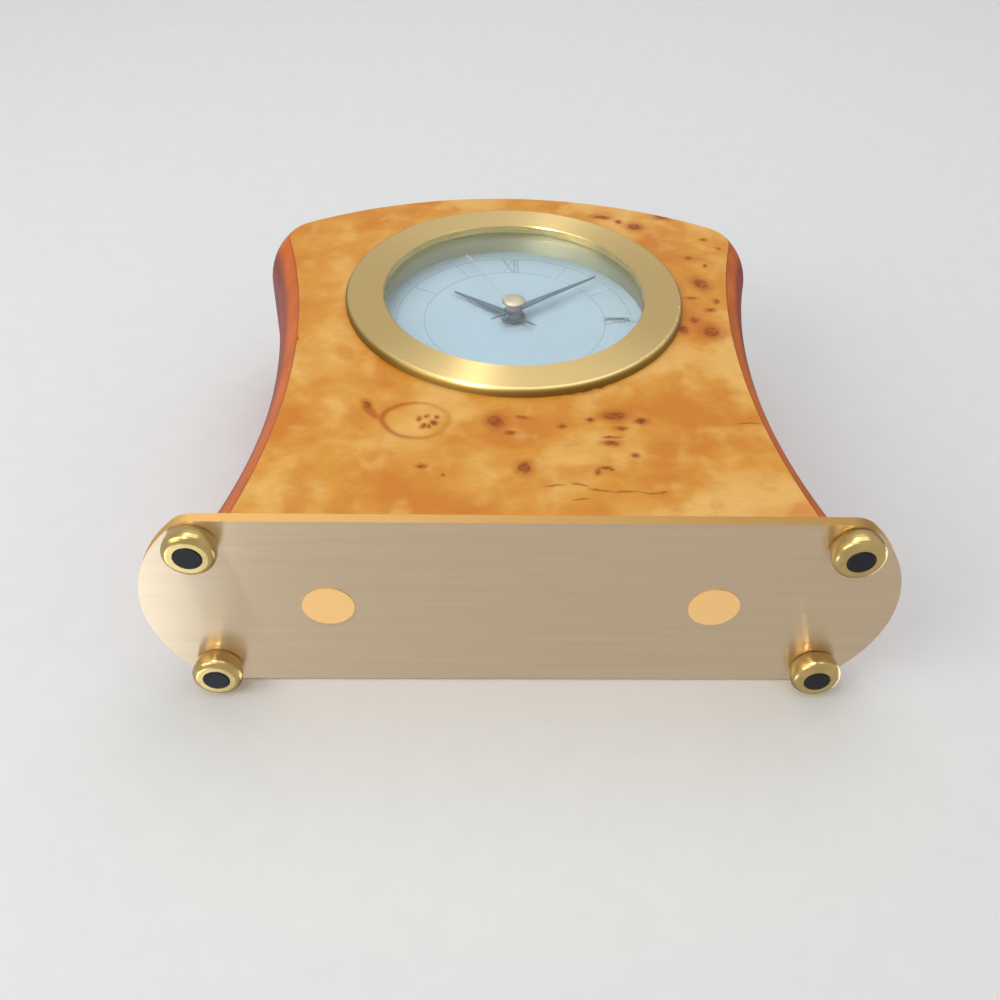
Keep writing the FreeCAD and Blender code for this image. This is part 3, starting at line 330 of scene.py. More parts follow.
def foil_paper(colours):
    """Self-adhesive paper with a warm foil face: flat, satin and very even."""
    sticker = tuple(colours.sticker)
    material, tree, shader, place = start_material("gold foil paper", sticker, Metallic=0.15, Roughness=0.5)
    creases = noise(tree, place, 3)
    feed(tree, shader, "Base Color", clouded(tree, creases, sticker, 0.98, 1.01))
    raised(tree, shader, creases, 0.1, 0.02)
    return material


# Pips and curls of the burl: distance right of the middle, height over the ground, half
# length and half height in mm, and lean in degrees
BURL_PIPS = (
    (-23.8, 41.0, 0.6, 0.8, 0), (-22.7, 38.2, 0.7, 0.9, 0), (-21.9, 41.8, 0.5, 0.6, 0),
    (-21.5, 38.2, 0.5, 0.7, 0), (-20.3, 39.4, 0.7, 0.9, 0), (-19.7, 41.5, 0.4, 0.6, 0),
    (-36.2, 46.2, 0.9, 1.5, 20), (-22.6, 24.0, 1.0, 0.7, 0), (-17.8, 21.1, 0.4, 0.4, 0),
    (-6.1, 40.0, 2.0, 2.3, 0), (-2.7, 36.0, 1.2, 0.7, 0), (0.5, 41.7, 1.3, 0.5, -8), (9.4, 38.5, 0.9, 0.7, 10),
    (16.2, 41.0, 0.9, 0.7, 0), (21.9, 42.6, 3.1, 1.6, 4), (28.0, 40.7, 1.5, 1.1, 6), (23.1, 38.0, 1.3, 0.7, 0),
    (20.4, 34.6, 1.7, 0.4, 4), (20.2, 32.6, 1.9, 0.9, -3), (25.2, 28.2, 0.8, 0.7, 0), (0.1, 23.7, 1.7, 2.0, 0),
    (16.3, 22.6, 0.5, 1.1, -20), (18.0, 23.9, 1.2, 0.4, 12), (19.4, 23.4, 0.6, 0.5, -40),
    # The five pips from (2.5, 50.6) to (22.3, 56.2) follow the bezel's lower rim and lean with it, so the burl
    # is darker just under the bezel
    (2.5, 50.6, 2.1, 0.9, 0), (12.4, 51.5, 1.7, 0.8, 10), (15.6, 52.6, 1.8, 1.2, 14),
    (19.2, 54.3, 1.7, 1.2, 20), (22.3, 56.2, 1.3, 0.9, 30), (-55.9, 72.7, 0.4, 1.6, 0),
    (51.9, 101.7, 2.2, 3.0, 10), (54.6, 92.8, 0.7, 1.0, 0), (52.3, 88.5, 1.2, 0.8, 0),
    (47.4, 83.5, 1.1, 1.3, 0), (50.8, 78.3, 2.4, 2.6, 0), (43.7, 79.1, 1.1, 1.7, 0), (48.0, 94.5, 1.4, 0.5, 0),
    (37.2, 133.5, 2.4, 2.1, 0), (32.6, 136.3, 0.9, 1.2, 0), (27.9, 139.1, 2.6, 1.0, -8),
    (46.6, 140.1, 2.5, 1.8, 0), (56.5, 126.3, 0.9, 0.7, 0), (50.5, 115.7, 0.9, 0.9, 0),
    (54.7, 111.6, 0.5, 0.7, 0), (60.1, 121.4, 0.6, 0.6, 0),
)
# Thin brown curls, in the same terms
BURL_CURLS = (
    (11.9, 18.3, 1.9, 0.4, -16), (16.2, 16.5, 2.8, 0.3, -10), (21.8, 16.1, 2.8, 0.3, 2),
    (27.2, 15.6, 2.6, 0.3, -5), (29.9, 16.0, 1.0, 0.4, 20), (6.4, 17.9, 2.2, 0.35, 8),
    (11.8, 13.6, 1.6, 0.3, 8), (53.5, 40.2, 2.6, 0.3, 4),
)
# The oval eye round one group of pips, and the dark wisp at its left: middles, half axes in mm, and lean
BURL_EYE = (-24.5, 40.5, 7.8, 6.6, -4)
BURL_WISP = (-35.0, 43.6, 3.6, 1.2, -60)


def in_oval(tree, place, right, up, half_length, half_height, lean):
    """How far out a point lies in an oval on the front: 0 at its middle and 1 on its outline."""
    inside = add_node(tree, "Mapping", {"vector_type": "TEXTURE", "Location": (right * MM, 0.0, up * MM),
                                        "Rotation": (0.0, -math.radians(lean), 0.0),
                                        "Scale": (half_length * MM, 1.0, half_height * MM), "Vector": place})
    return add_node(tree, "VectorMath", {"operation": "LENGTH", 0: inside.outputs[0]}).outputs["Value"]


def nudged(tree, place, size_mm, reach_mm, detail):
    """The place moved about at random, by up to reach_mm either way, in waves of size_mm."""
    waves = add_node(tree, "TexNoise", {"Scale": 1000 / size_mm, "Detail": detail, "Vector": place})
    move = add_node(tree, "VectorMath", {"operation": "MULTIPLY_ADD", 0: waves.outputs["Color"],
                                         1: grey(4 * reach_mm * MM), 2: grey(-2 * reach_mm * MM)})
    moved = add_node(tree, "VectorMath", {"operation": "ADD", 0: place, 1: move.outputs[0]})
    flat = add_node(tree, "VectorMath", {"operation": "MULTIPLY", 0: moved.outputs[0], 1: (1.0, 0.0, 1.0)})
    return flat.outputs[0]


def nearest_oval(tree, place, ovals):
    """How far out a point lies in the oval that it is nearest to."""
    nearest = in_oval(tree, place, *ovals[0])
    for oval in ovals[1:]:
        nearest = worked_out(tree, "MINIMUM", nearest, in_oval(tree, place, *oval))
    return nearest


def burl_veneer(colours):
    """Poplar burl veneer under gloss lacquer: honey clouds, soft pale figure and brown pips with warm rims."""
    pale, middle, deep = tuple(colours.burl_pale), tuple(colours.burl_middle), tuple(colours.burl_deep)
    rust, knot = tuple(colours.burl_rust), tuple(colours.burl_knot)
    material, tree, shader, place = start_material(
        "lacquered poplar burl veneer", middle, Roughness=0.5,
        **{"Specular IOR Level": 0.05, "Coat Weight": 0.4, "Coat Roughness": 0.08})
    # Clouds about 26 mm across whose outlines wander by 4 mm
    swirled = nudged(tree, place, 16, 4.0, 2.0)
    clouds = noise(tree, swirled, 26, 3.0)
    figure = ramp(tree, clouds, (0.38, deep), (0.5, middle), (0.62, pale))
    # Deeper patches of 9 mm and paler ones of 10 mm, all with soft edges
    patches = noise(tree, nudged(tree, place, 11, 1.5, 1.0), 9, Roughness=0.45)
    figure = painted_over(tree, figure, deep, soft_step(tree, patches, 0.5, 0.68, 0.55))
    pale_patches = noise(tree, nudged(tree, place, 7, 1.0, 1.0), 10)
    figure = painted_over(tree, figure, tinted(pale, 1.1), soft_step(tree, pale_patches, 0.5, 0.75, 0.6))
    # Fibres of 3 by 0.7 mm
    fibres = noise(tree, swirled, (3, 0.7, 0.7), 3.0, lean=0.3)
    figure = scaled(tree, figure, spread(tree, fibres, 0.95, 1.05, 0.3, 0.7))
    # The eye: a slightly paler field whose brown outline, about 1.2 mm wide, fades out towards the right
    curled = nudged(tree, place, 13, 0.5, 1.0)
    eye = in_oval(tree, curled, *BURL_EYE)
    figure = painted_over(tree, figure, tinted(pale, 1.05), soft_step(tree, eye, 1.0, 0.6, 0.3))
    from_line = worked_out(tree, "ABSOLUTE", worked_out(tree, "SUBTRACT", eye, 1.0))
    eye_line = soft_step(tree, from_line, 0.16, 0.01, 1.0)
    eye_fade = spread(tree, along(tree, place, "X"), 0.7, 0.3, (BURL_EYE[0] - 5) * MM, (BURL_EYE[0] + 5) * MM)
    figure = painted_over(tree, figure, tinted(knot, 1.4), worked_out(tree, "MULTIPLY", eye_line, eye_fade))
    wisp = in_oval(tree, curled, *BURL_WISP)
    figure = painted_over(tree, figure, rust, soft_step(tree, wisp, 1.35, 0.5, 0.75))
    # Pips and curls have ragged outlines; a pip has a warm halo, and its core is mottled between two browns
    torn = nudged(tree, place, 1.8, 0.35, 3.0)
    curls = nearest_oval(tree, torn, BURL_CURLS)
    figure = painted_over(tree, figure, tinted(rust, 0.6), soft_step(tree, curls, 1.5, 0.5, 0.6))
    pips = nearest_oval(tree, torn, BURL_PIPS)
    figure = painted_over(tree, figure, rust, soft_step(tree, pips, 2.2, 0.9, 0.5))
    browns = ramp(tree, noise(tree, place, 1.1), (0.4, tinted(knot, 0.7)), (0.6, tinted(knot, 1.6)))
    figure = painted_over(tree, figure, browns, soft_step(tree, pips, 1.15, 0.55, 0.85))
    feed(tree, shader, "Base Color", figure)
    lacquer_waves(tree, shader, place)
    return material


def stained_wood(colours):
    """Mahogany under a gloss lacquer, grain upright; a narrow orange stain runs along the veneer's edge."""
    wood, edge_stain = tuple(colours.mahogany), tuple(colours.edge_stain)
    material, tree, shader, place = start_material(
        "lacquered mahogany", wood, Roughness=0.45,
        **{"Specular IOR Level": 0.1, "Coat Weight": 0.25, "Coat Roughness": 0.06})
    # Growth rings of about 3 mm and pores of 0.3 by 6 mm, upright
    rings = noise(tree, place, (5, 3, 90), 4.0, Distortion=0.5)
    pores = noise(tree, place, (0.3, 0.3, 6))
    shade = ramp(tree, rings, (0.3, tinted(wood, 0.65)), (0.5, wood), (0.7, tinted(wood, 1.3)))
    grained = scaled(tree, shade, spread(tree, pores, 0.75, 1.0, 0.35, 0.45))
    clouds = noise(tree, place, 12, 3.0)
    stain = ramp(tree, clouds, (0.35, tinted(edge_stain, 0.85)), (0.65, tinted(edge_stain, 1.15)))
    # The stain runs out between 2 and 6 mm behind the front, and has gathered darkly beside the veneer
    behind = worked_out(tree, "SUBTRACT", along(tree, place, "Y"), case_front_y)
    plain = soft_step(tree, behind, 2.0 * MM, 6.0 * MM, 1.0)
    gathered = soft_step(tree, behind, 0.7 * MM, 0.2 * MM, 0.7)
    finish = painted_over(tree, painted_over(tree, stain, grained, plain), tinted(edge_stain, 0.6), gathered)
    feed(tree, shader, "Base Color", finish)
    lacquer_waves(tree, shader, place)
    return material


def mineral_glass():
    """Flat mineral glass, faintly green in its thickness. Lamps reach the dial straight through it."""
    tint = linear("#f4f8f8")
    material, tree, shader, place = start_material("mineral glass", tint, Roughness=0.0, IOR=1.5,
                                                   **{"Transmission Weight": 1.0})
    smears = noise(tree, place, 14)
    feed(tree, shader, "Roughness", spread(tree, smears, 0.0, 0.03, 0.5, 0.8))
    clear_where(tree, shader, add_node(tree, "LightPath").outputs["Is Shadow Ray"], tint)
    return material


def moulded(name, colour, roughness, grain_mm, clouding=0.1, **settings):
    """Injection moulded plastic, rubber or a sprayed coat: a fine grain, and a shade uneven by clouding."""
    material, tree, shader, place = start_material(name, colour, Roughness=roughness, **settings)
    uneven = noise(tree, place, 6)
    feed(tree, shader, "Base Color", clouded(tree, uneven, colour, 1 - clouding, 1 + clouding))
    gloss = spread(tree, uneven, roughness * (1 - clouding), min(1.0, roughness * (1 + clouding)))
    feed(tree, shader, "Roughness", gloss)
    raised(tree, shader, noise(tree, place, grain_mm), 0.25, 0.02)
    return material


def lacquered_hand(colour, boss_colour, boss_mm):
    """Stamped hand in a blue-black lacquer; its boss, where it grips the pipe, is pale grey: uncoated nickel
    silver and painted light.
    """
    material, tree, shader, place = start_material("blue-black hand lacquer", colour, Roughness=0.35)
    radius = from_axis(tree, place)[1]
    lacquer = clouded(tree, noise(tree, place, 5), colour, 0.92, 1.08)
    # Painted light: the boss turns pale grey, partly for its uncoated metal and partly to lift the shade that
    # falls between the hands' bosses
    boss_metal_and_light = soft_step(tree, radius, (boss_mm + 0.1) * MM, (boss_mm - 0.1) * MM, 1.0)
    feed(tree, shader, "Base Color", painted_over(tree, lacquer, boss_colour, boss_metal_and_light))
    raised(tree, shader, noise(tree, place, 0.5), 0.25, 0.02)
    return material


def banded(name, colour, band_colour, from_x, roughness):
    """A wrapped sleeve in two colours that meet at one place along the cell."""
    material, tree, shader, place = start_material(name, colour, Roughness=roughness)
    past = worked_out(tree, "GREATER_THAN", along(tree, place, "X"), from_x)
    plain = clouded(tree, noise(tree, place, 3, 3.0), colour, 0.9, 1.08)
    feed(tree, shader, "Base Color", painted_over(tree, plain, band_colour, past))
    return material


def metal_part(name, colour, roughness, line_mm):
    """Drawn or plated metal: short fine tool marks, slightly clouded."""
    material, tree, shader, place = start_material(name, colour, Metallic=1.0, Roughness=roughness)
    marks = noise(tree, place, line_mm, 3.0)
    feed(tree, shader, "Base Color", clouded(tree, marks, colour, 0.85, 1.08))
    raised(tree, shader, marks, 0.2, 0.01)
    return material


def winding(colour):
    """Enamelled copper wire wound along the core: turns 0.3 mm apart, with a warm gloss."""
    material, tree, shader, place = start_material("enamelled copper wire", colour, Metallic=1.0, Roughness=0.3)
    turns = add_node(tree, "TexWave", {"wave_type": "BANDS", "bands_direction": "X", "Distortion": 0.3,
                                       "Scale": 1000 / 0.3 / WAVES_PER_UNIT, "Vector": place}).outputs["Fac"]
    # Painted shade: the wire darkens to about a third of its colour in the grooves between turns
    feed(tree, shader, "Base Color", ramp(tree, turns, (0.0, tinted(colour, 0.35)), (0.6, colour)))
    raised(tree, shader, turns, 0.6, 0.1)
    return material


def dress(material, *names):
    for name in names:
        nodes[name].data.materials.clear()
        nodes[name].data.materials.append(material)


# ---- Modelling by hand
def start_piece():
    """Leaves edit mode and deselects everything, so that the next primitive stands alone."""
    if bpy.context.object is not None and bpy.context.object.mode != "OBJECT":
        bpy.ops.object.mode_set(mode="OBJECT")
    bpy.ops.object.select_all(action="DESELECT")


def choose(piece, where):
    """Selects the vertices of the edited piece that lie where the test says, with the faces they span."""
    bpy.ops.mesh.select_all(action="DESELECT")
    bpy.ops.mesh.select_mode(type="VERT")
    bpy.ops.object.mode_set(mode="OBJECT")
    for vertex in piece.data.vertices:
        vertex.select = bool(where(vertex.co))
    bpy.ops.object.mode_set(mode="EDIT")


def end_piece(name, material, body):
    """Names the active piece, gives it its finish, and lets it ride on its body."""
    if bpy.context.object.mode != "OBJECT":
        bpy.ops.object.mode_set(mode="OBJECT")
    piece = bpy.context.object
    bpy.ops.object.transform_apply(location=True, rotation=True, scale=True)
    piece.name = name
    piece.data.name = name
    piece.data.materials.clear()
    piece.data.materials.append(material)
    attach(piece, body)


def printed_bar(across, up, width, height, lean, ink):
    """One ink stroke facing forward: a plane drawn out to its size, leaned over, and raised by the ink."""
    start_piece()
    bpy.ops.mesh.primitive_plane_add(size=1.0, rotation=(math.pi / 2, 0.0, 0.0))
    bar = bpy.context.object
    bpy.ops.object.transform_apply(rotation=True)
    bpy.ops.object.mode_set(mode="EDIT")
    bpy.ops.mesh.select_all(action="SELECT")
    bpy.ops.transform.resize(value=(width, 1.0, height))
    bpy.ops.transform.translate(value=(across, dial_face_y, up))
    if lean:
        choose(bar, lambda co: co.z > up)
        bpy.ops.transform.translate(value=(lean / 2, 0.0, 0.0))
        choose(bar, lambda co: co.z < up)
        bpy.ops.transform.translate(value=(-lean / 2, 0.0, 0.0))
    bpy.ops.mesh.select_all(action="SELECT")
    bpy.ops.mesh.extrude_region_move(TRANSFORM_OT_translate={"value": (0.0, -ink, 0.0)})
    bpy.ops.object.mode_set(mode="OBJECT")
    return bar


def letter_strokes(letter, middle, sizes):
    """The strokes of I, V or X round a middle line: place across, width, lean, and the serifs' places."""
    thick, thin = sizes.thick_stroke, sizes.thin_stroke
    if letter == "I":
        return [(middle, thick, 0.0)], [(middle, 1), (middle, -1)]
    reach = sizes.numeral_height * V_REACH
    if letter == "V":
        return ([(middle - reach / 2, thick, -reach), (middle + reach / 2, thin, reach)],
                [(middle - reach, 1), (middle + reach, 1)])
    reach *= X_REACH
    return ([(middle, thick, -2 * reach), (middle, thin, 2 * reach)],
            [(middle + side * reach, end) for end in (1, -1) for side in (-1, 1)])


# Each numeral's turn in degrees, and its letters with their places across it in mm. Known fault: the turn runs
# counter-clockwise seen from the front, so IX stands at 3 o'clock, over the date window, instead of at 9
NUMERALS = {"XII": (0, ((-0.95, "X"), (0.8, "I"), (1.8, "I"))),
            "VI": (180, ((-0.6, "V"), (1.4, "I"))),
            "IX": (270, ((-1.5, "I"), (0.4, "X")))}


def roman_numeral(word, sizes, material):
    """A serifed Roman numeral whose foot stands on the inner chapter circle, towards the dial's centre."""
    turn, letters = NUMERALS[word]
    height, ink = sizes.numeral_height, sizes.ink_height
    radius = sizes.inner_circle + NUMERAL_MIDDLE * height
    bars = []
    for middle, letter in letters:
        strokes, serifs = letter_strokes(letter, middle * MM, sizes)
        for across, width, lean in strokes:
            bars.append(printed_bar(across, radius, width, height, lean, ink))
        for across, side in serifs:
            up = radius + side * (height - sizes.thin_stroke) / 2
            bars.append(printed_bar(across, up, SERIF_WIDTH, sizes.thin_stroke, 0.0, ink))
    join_pieces(bars)
    bpy.ops.object.mode_set(mode="EDIT")
    bpy.ops.mesh.select_all(action="SELECT")
    bpy.ops.transform.rotate(value=math.radians(turn), orient_axis="Y", center_override=(0.0, dial_face_y, 0.0))
    bpy.ops.transform.translate(value=(print_centre.x, 0.0, print_centre.z))
    bpy.ops.mesh.normals_make_consistent(inside=False)
    end_piece("dial_numeral_" + word, material, "clock_case")


def join_pieces(pieces):
    start_piece()
    for piece in pieces:
        piece.select_set(True)
    bpy.context.view_layer.objects.active = pieces[0]
    bpy.ops.object.join()


def chapter_circle(name, radius, sizes, material):
    """A printed circle: a ring of edges drawn outwards to the line's width, then raised by the ink."""
    inner, outer = radius - sizes.line_width / 2, radius + sizes.line_width / 2
    centre = (print_centre.x, dial_face_y, print_centre.z)
    start_piece()
    bpy.ops.mesh.primitive_circle_add(vertices=CIRCLE_STEPS, radius=inner, fill_type="NOTHING", location=centre,
                                      rotation=(math.pi / 2, 0.0, 0.0))
    bpy.ops.object.mode_set(mode="EDIT")
    bpy.ops.mesh.select_all(action="SELECT")
    bpy.ops.mesh.extrude_edges_move()
    bpy.ops.transform.resize(value=(outer / inner, 1.0, outer / inner), center_override=centre)
    bpy.ops.mesh.select_all(action="SELECT")
    bpy.ops.mesh.extrude_region_move(TRANSFORM_OT_translate={"value": (0.0, -sizes.ink_height, 0.0)})
    bpy.ops.mesh.select_all(action="SELECT")
    bpy.ops.mesh.normals_make_consistent(inside=False)
    end_piece(name, material, "clock_case")


def hour_lines(sizes, material):
    """Thin radial lines between the circles at the hours that have no numeral."""
    bars = []
    radius = (sizes.outer_circle + sizes.inner_circle) / 2
    length = sizes.outer_circle - sizes.inner_circle
    for hour in (1, 2, 4, 5, 7, 8, 10, 11):
        bar = printed_bar(0.0, radius, sizes.line_width, length, 0.0, sizes.ink_height)
        bar.rotation_euler = (0.0, math.radians(30 * hour), 0.0)
        bar.location = (print_centre.x, 0.0, print_centre.z)
        bars.append(bar)
    join_pieces(bars)
    bpy.ops.object.transform_apply(location=True, rotation=True, scale=True)
    bpy.ops.object.mode_set(mode="EDIT")
    bpy.ops.mesh.select_all(action="SELECT")
    bpy.ops.mesh.normals_make_consistent(inside=False)
    end_piece("dial_hour_lines", material, "clock_case")


# ---- Operators: one for each piece or group of like pieces
class CLOCK_OT_base(bpy.types.Operator):
    """Finishes the base plate, its feet, pads, screws and foil covers"""
    bl_idname = "clock.dress_base"
    bl_label = "Base plate and feet"

    def execute(self, context):
        colours = context.scene.clock_colours
        dress(brushed_plate_brass(colours), "base_plate")
        pads = [name for name in nodes if name.startswith("foot_pad")]
        feet = [name for name in nodes if name.startswith("foot_") and name not in (*pads, "foot_screws")]
        dress(turned_brass("turned free-cutting brass", tuple(colours.brass), 0.22, 0.35), *feet)
        dress(moulded("nitrile rubber", linear("#101216"), 0.5, 0.25, **{"Specular IOR Level": 0.3}), *pads)
        dress(metal_part("zinc plated steel", linear("#b9bcbd"), 0.3, 0.2), "foot_screws", "body_screws",
              "back_cover_screws", "movement_screws")
        dress(foil_paper(colours), "screw_cover_left", "screw_cover_right")
        return {"FINISHED"}


class CLOCK_OT_case(bpy.types.Operator):
    """Finishes the wooden case and its burl veneer"""
    bl_idname = "clock.dress_case"
    bl_label = "Case and veneer"

    def execute(self, context):
        colours = context.scene.clock_colours
        dress(stained_wood(colours), "wooden_body")
        dress(burl_veneer(colours), "burl_veneer")
        return {"FINISHED"}


class CLOCK_OT_insert(bpy.types.Operator):
    """Finishes the bezel, glass, ring, can, band and back cover"""
    bl_idname = "clock.dress_insert"
    bl_label = "Insert"

    def execute(self, context):
        colours = context.scene.clock_colours
        low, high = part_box("bezel")
        # The bezel's outermost millimetre is painted dull olive as a painted dark reflection
        rim = (high.x - low.x) / 2 - DARK_RIM_WIDTH
        dress(spun_brass("spun brass", tuple(colours.bezel), 0.26, 0.12, 0.88, rim), "bezel")
        dress(spun_brass("bright turned brass", linear("#c4bc98"), 0.44, 0.2, 0.95), "reflector_ring")
        dress(mineral_glass(), "glass")
        dress(moulded("clear PVC gasket", linear("#aaa88e"), 0.4, 0.3), "glass_gasket")
        dress(moulded("nitrile rubber band", linear("#202122"), 0.6, 0.3), "retaining_band")
        dress(moulded("black ABS", linear("#1d1e20"), 0.42, 0.35), "insert_can", "back_cover")
        return {"FINISHED"}


class CLOCK_OT_dial(bpy.types.Operator):
    """Finishes the dial and prints its circles, hour lines and numerals"""
    bl_idname = "clock.print_dial"
    bl_label = "Dial"

    def execute(self, context):
        colours, sizes = context.scene.clock_colours, context.scene.clock_print
        enamel = moulded("enamelled aluminium", tuple(colours.dial), 0.5, 0.6, 0.015,
                         **{"Specular IOR Level": 0.2})
        dress(enamel, "dial")
        ink = moulded("dial ink", tuple(colours.ink), 0.6, 0.4)
        chapter_circle("dial_outer_circle", sizes.outer_circle, sizes, ink)
        chapter_circle("dial_inner_circle", sizes.inner_circle, sizes, ink)
        hour_lines(sizes, ink)
        for word in NUMERALS:
            roman_numeral(word, sizes, ink)
        return {"FINISHED"}


class CLOCK_OT_calendar(bpy.types.Operator):
    """Finishes the calendar parts and prints the dates on their ring"""
    bl_idname = "clock.print_calendar"
    bl_label = "Calendar"

    def execute(self, context):
        sizes = context.scene.clock_print
        dress(moulded("white date card", linear("#c4cccf"), 0.55, 0.5), "date_ring")
        dress(moulded("pale acetal", linear("#b9c2c8"), 0.5, 0.4, 0.03), "calendar_plate", "date_jumper")
        ink = moulded("date ink", linear("#a8b0b4"), 0.6, 0.4)
        ring_low, ring_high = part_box("date_ring")
        radius = (ring_high.x - ring_low.x) / 2 * FIGURE_RADIUS
        figures = []
        for day in range(1, DAYS + 1):
            start_piece()
            bpy.ops.object.text_add(rotation=(math.pi / 2, 0.0, 0.0))
            text = bpy.context.object
            text.data.body = str(day)
            text.data.align_x, text.data.align_y = "CENTER", "CENTER"
            text.data.size = sizes.date_height / CAPITAL_HEIGHT
            text.data.extrude = sizes.ink_height / 2
            text.data.resolution_u = 3
            bpy.ops.object.convert(target="MESH")
            figure = bpy.context.object
            bpy.ops.object.transform_apply(rotation=True)
            bpy.ops.object.mode_set(mode="EDIT")
            bpy.ops.mesh.select_all(action="SELECT")
            bpy.ops.transform.resize(value=(FIGURE_WIDTH, 1.0, 1.0))
            bpy.ops.transform.translate(value=(radius, date_face_y - sizes.ink_height / 2, 0.0))
            bpy.ops.object.mode_set(mode="OBJECT")
            figure.rotation_euler = (0.0, math.radians(360 / DAYS * (day - DAY_SHOWN)), 0.0)
            figure.location = (dial_centre.x, 0.0, dial_centre.z)
            figures.append(figure)
        join_pieces(figures)
        end_piece("date_figures", ink, "date_ring")
        return {"FINISHED"}


class CLOCK_OT_hands(bpy.types.Operator):
    """Finishes the hands and the cap"""
    bl_idname = "clock.dress_hands"
    bl_label = "Hands"

    def execute(self, context):
        colours = context.scene.clock_colours
        # The bosses' pale grey #9a9ca8 is partly painted light on the shaded hub
        dress(lacquered_hand(tuple(colours.hands), linear("#9a9ca8"), 1.95), "hour_hand", "minute_hand")
        dress(moulded("rose hand lacquer", tuple(colours.second_hand), 0.4, 0.5), "second_hand")
        dress(turned_brass("pale gilt brass", linear("#b5a68c"), 0.5, 0.3), "second_hand_cap")
        return {"FINISHED"}


class CLOCK_OT_movement(bpy.types.Operator):
    """Finishes the movement, its wheels, the cell and its contacts"""
    bl_idname = "clock.dress_movement"
    bl_label = "Movement and cell"

    def execute(self, context):
        dress(moulded("glass-filled nylon", linear("#34373a"), 0.5, 0.4),
              "movement_front_case", "movement_back_case")
        dress(moulded("natural acetal", linear("#e6e2d4"), 0.35, 0.5), "intermediate_wheel", "second_wheel",
              "third_wheel", "centre_wheel", "motion_wheel", "date_pinion", "date_wheel")
        dress(moulded("grey acetal", linear("#9aa0a8"), 0.4, 0.5, 0.05), "cannon_pinion", "hour_wheel")
        dress(moulded("black acetal knob", linear("#232426"), 0.35, 0.4), "setting_knob")
        dress(metal_part("soft iron", linear("#8d9091"), 0.35, 0.4), "stator")
        dress(metal_part("sintered magnet", linear("#55585b"), 0.45, 0.3), "rotor")
        dress(winding(linear("#b5663a")), "coil")
        dress(moulded("green solder mask", linear("#1f5b3a"), 0.3, 0.6), "circuit_board")
        band_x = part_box("battery")[1].x - SLEEVE_BAND
        dress(banded("printed battery sleeve", linear("#2f6d4f"), linear("#c9cdd0"), band_x, 0.3), "battery")
        dress(metal_part("nickel plated spring steel", linear("#c2c1b8"), 0.28, 0.3),
              "battery_contact_negative", "battery_contact_positive")
        return {"FINISHED"}


def pale_surface(name, colour):
    """Matt painted board, seen only from its front, so that it never hides the clock from behind."""
    material, tree, shader, place = start_material(name, colour, Roughness=0.9)
    feed(tree, shader, "Base Color", clouded(tree, noise(tree, place, 8), colour, 0.99, 1.01))
    clear_where(tree, shader, add_node(tree, "NewGeometry").outputs["Backfacing"], grey(1.0))
    return material


def stage_surface(name, location, rotation, size, material):
    start_piece()
    bpy.ops.mesh.primitive_plane_add(size=size, location=location, rotation=rotation)
    surface = bpy.context.object
    surface.name = name
    surface.data.materials.append(material)
    surface.visible_diffuse = False
    surface.visible_glossy = False
    surface.visible_transmission = False
    surface.visible_shadow = False


def soft_lamp(name, place, aim, size, watts, colour):
    """A square softbox that faces a point."""
    light = bpy.data.lights.new(name, "AREA")
    light.shape = "SQUARE"
    light.size = size
    light.energy = watts
    light.color = colour
    lamp = bpy.data.objects.new(name, light)
    bpy.context.scene.collection.objects.link(lamp)
    lamp.location = place
    lamp.rotation_euler = (Vector(aim) - Vector(place)).to_track_quat("-Z", "Y").to_euler()
    return lamp


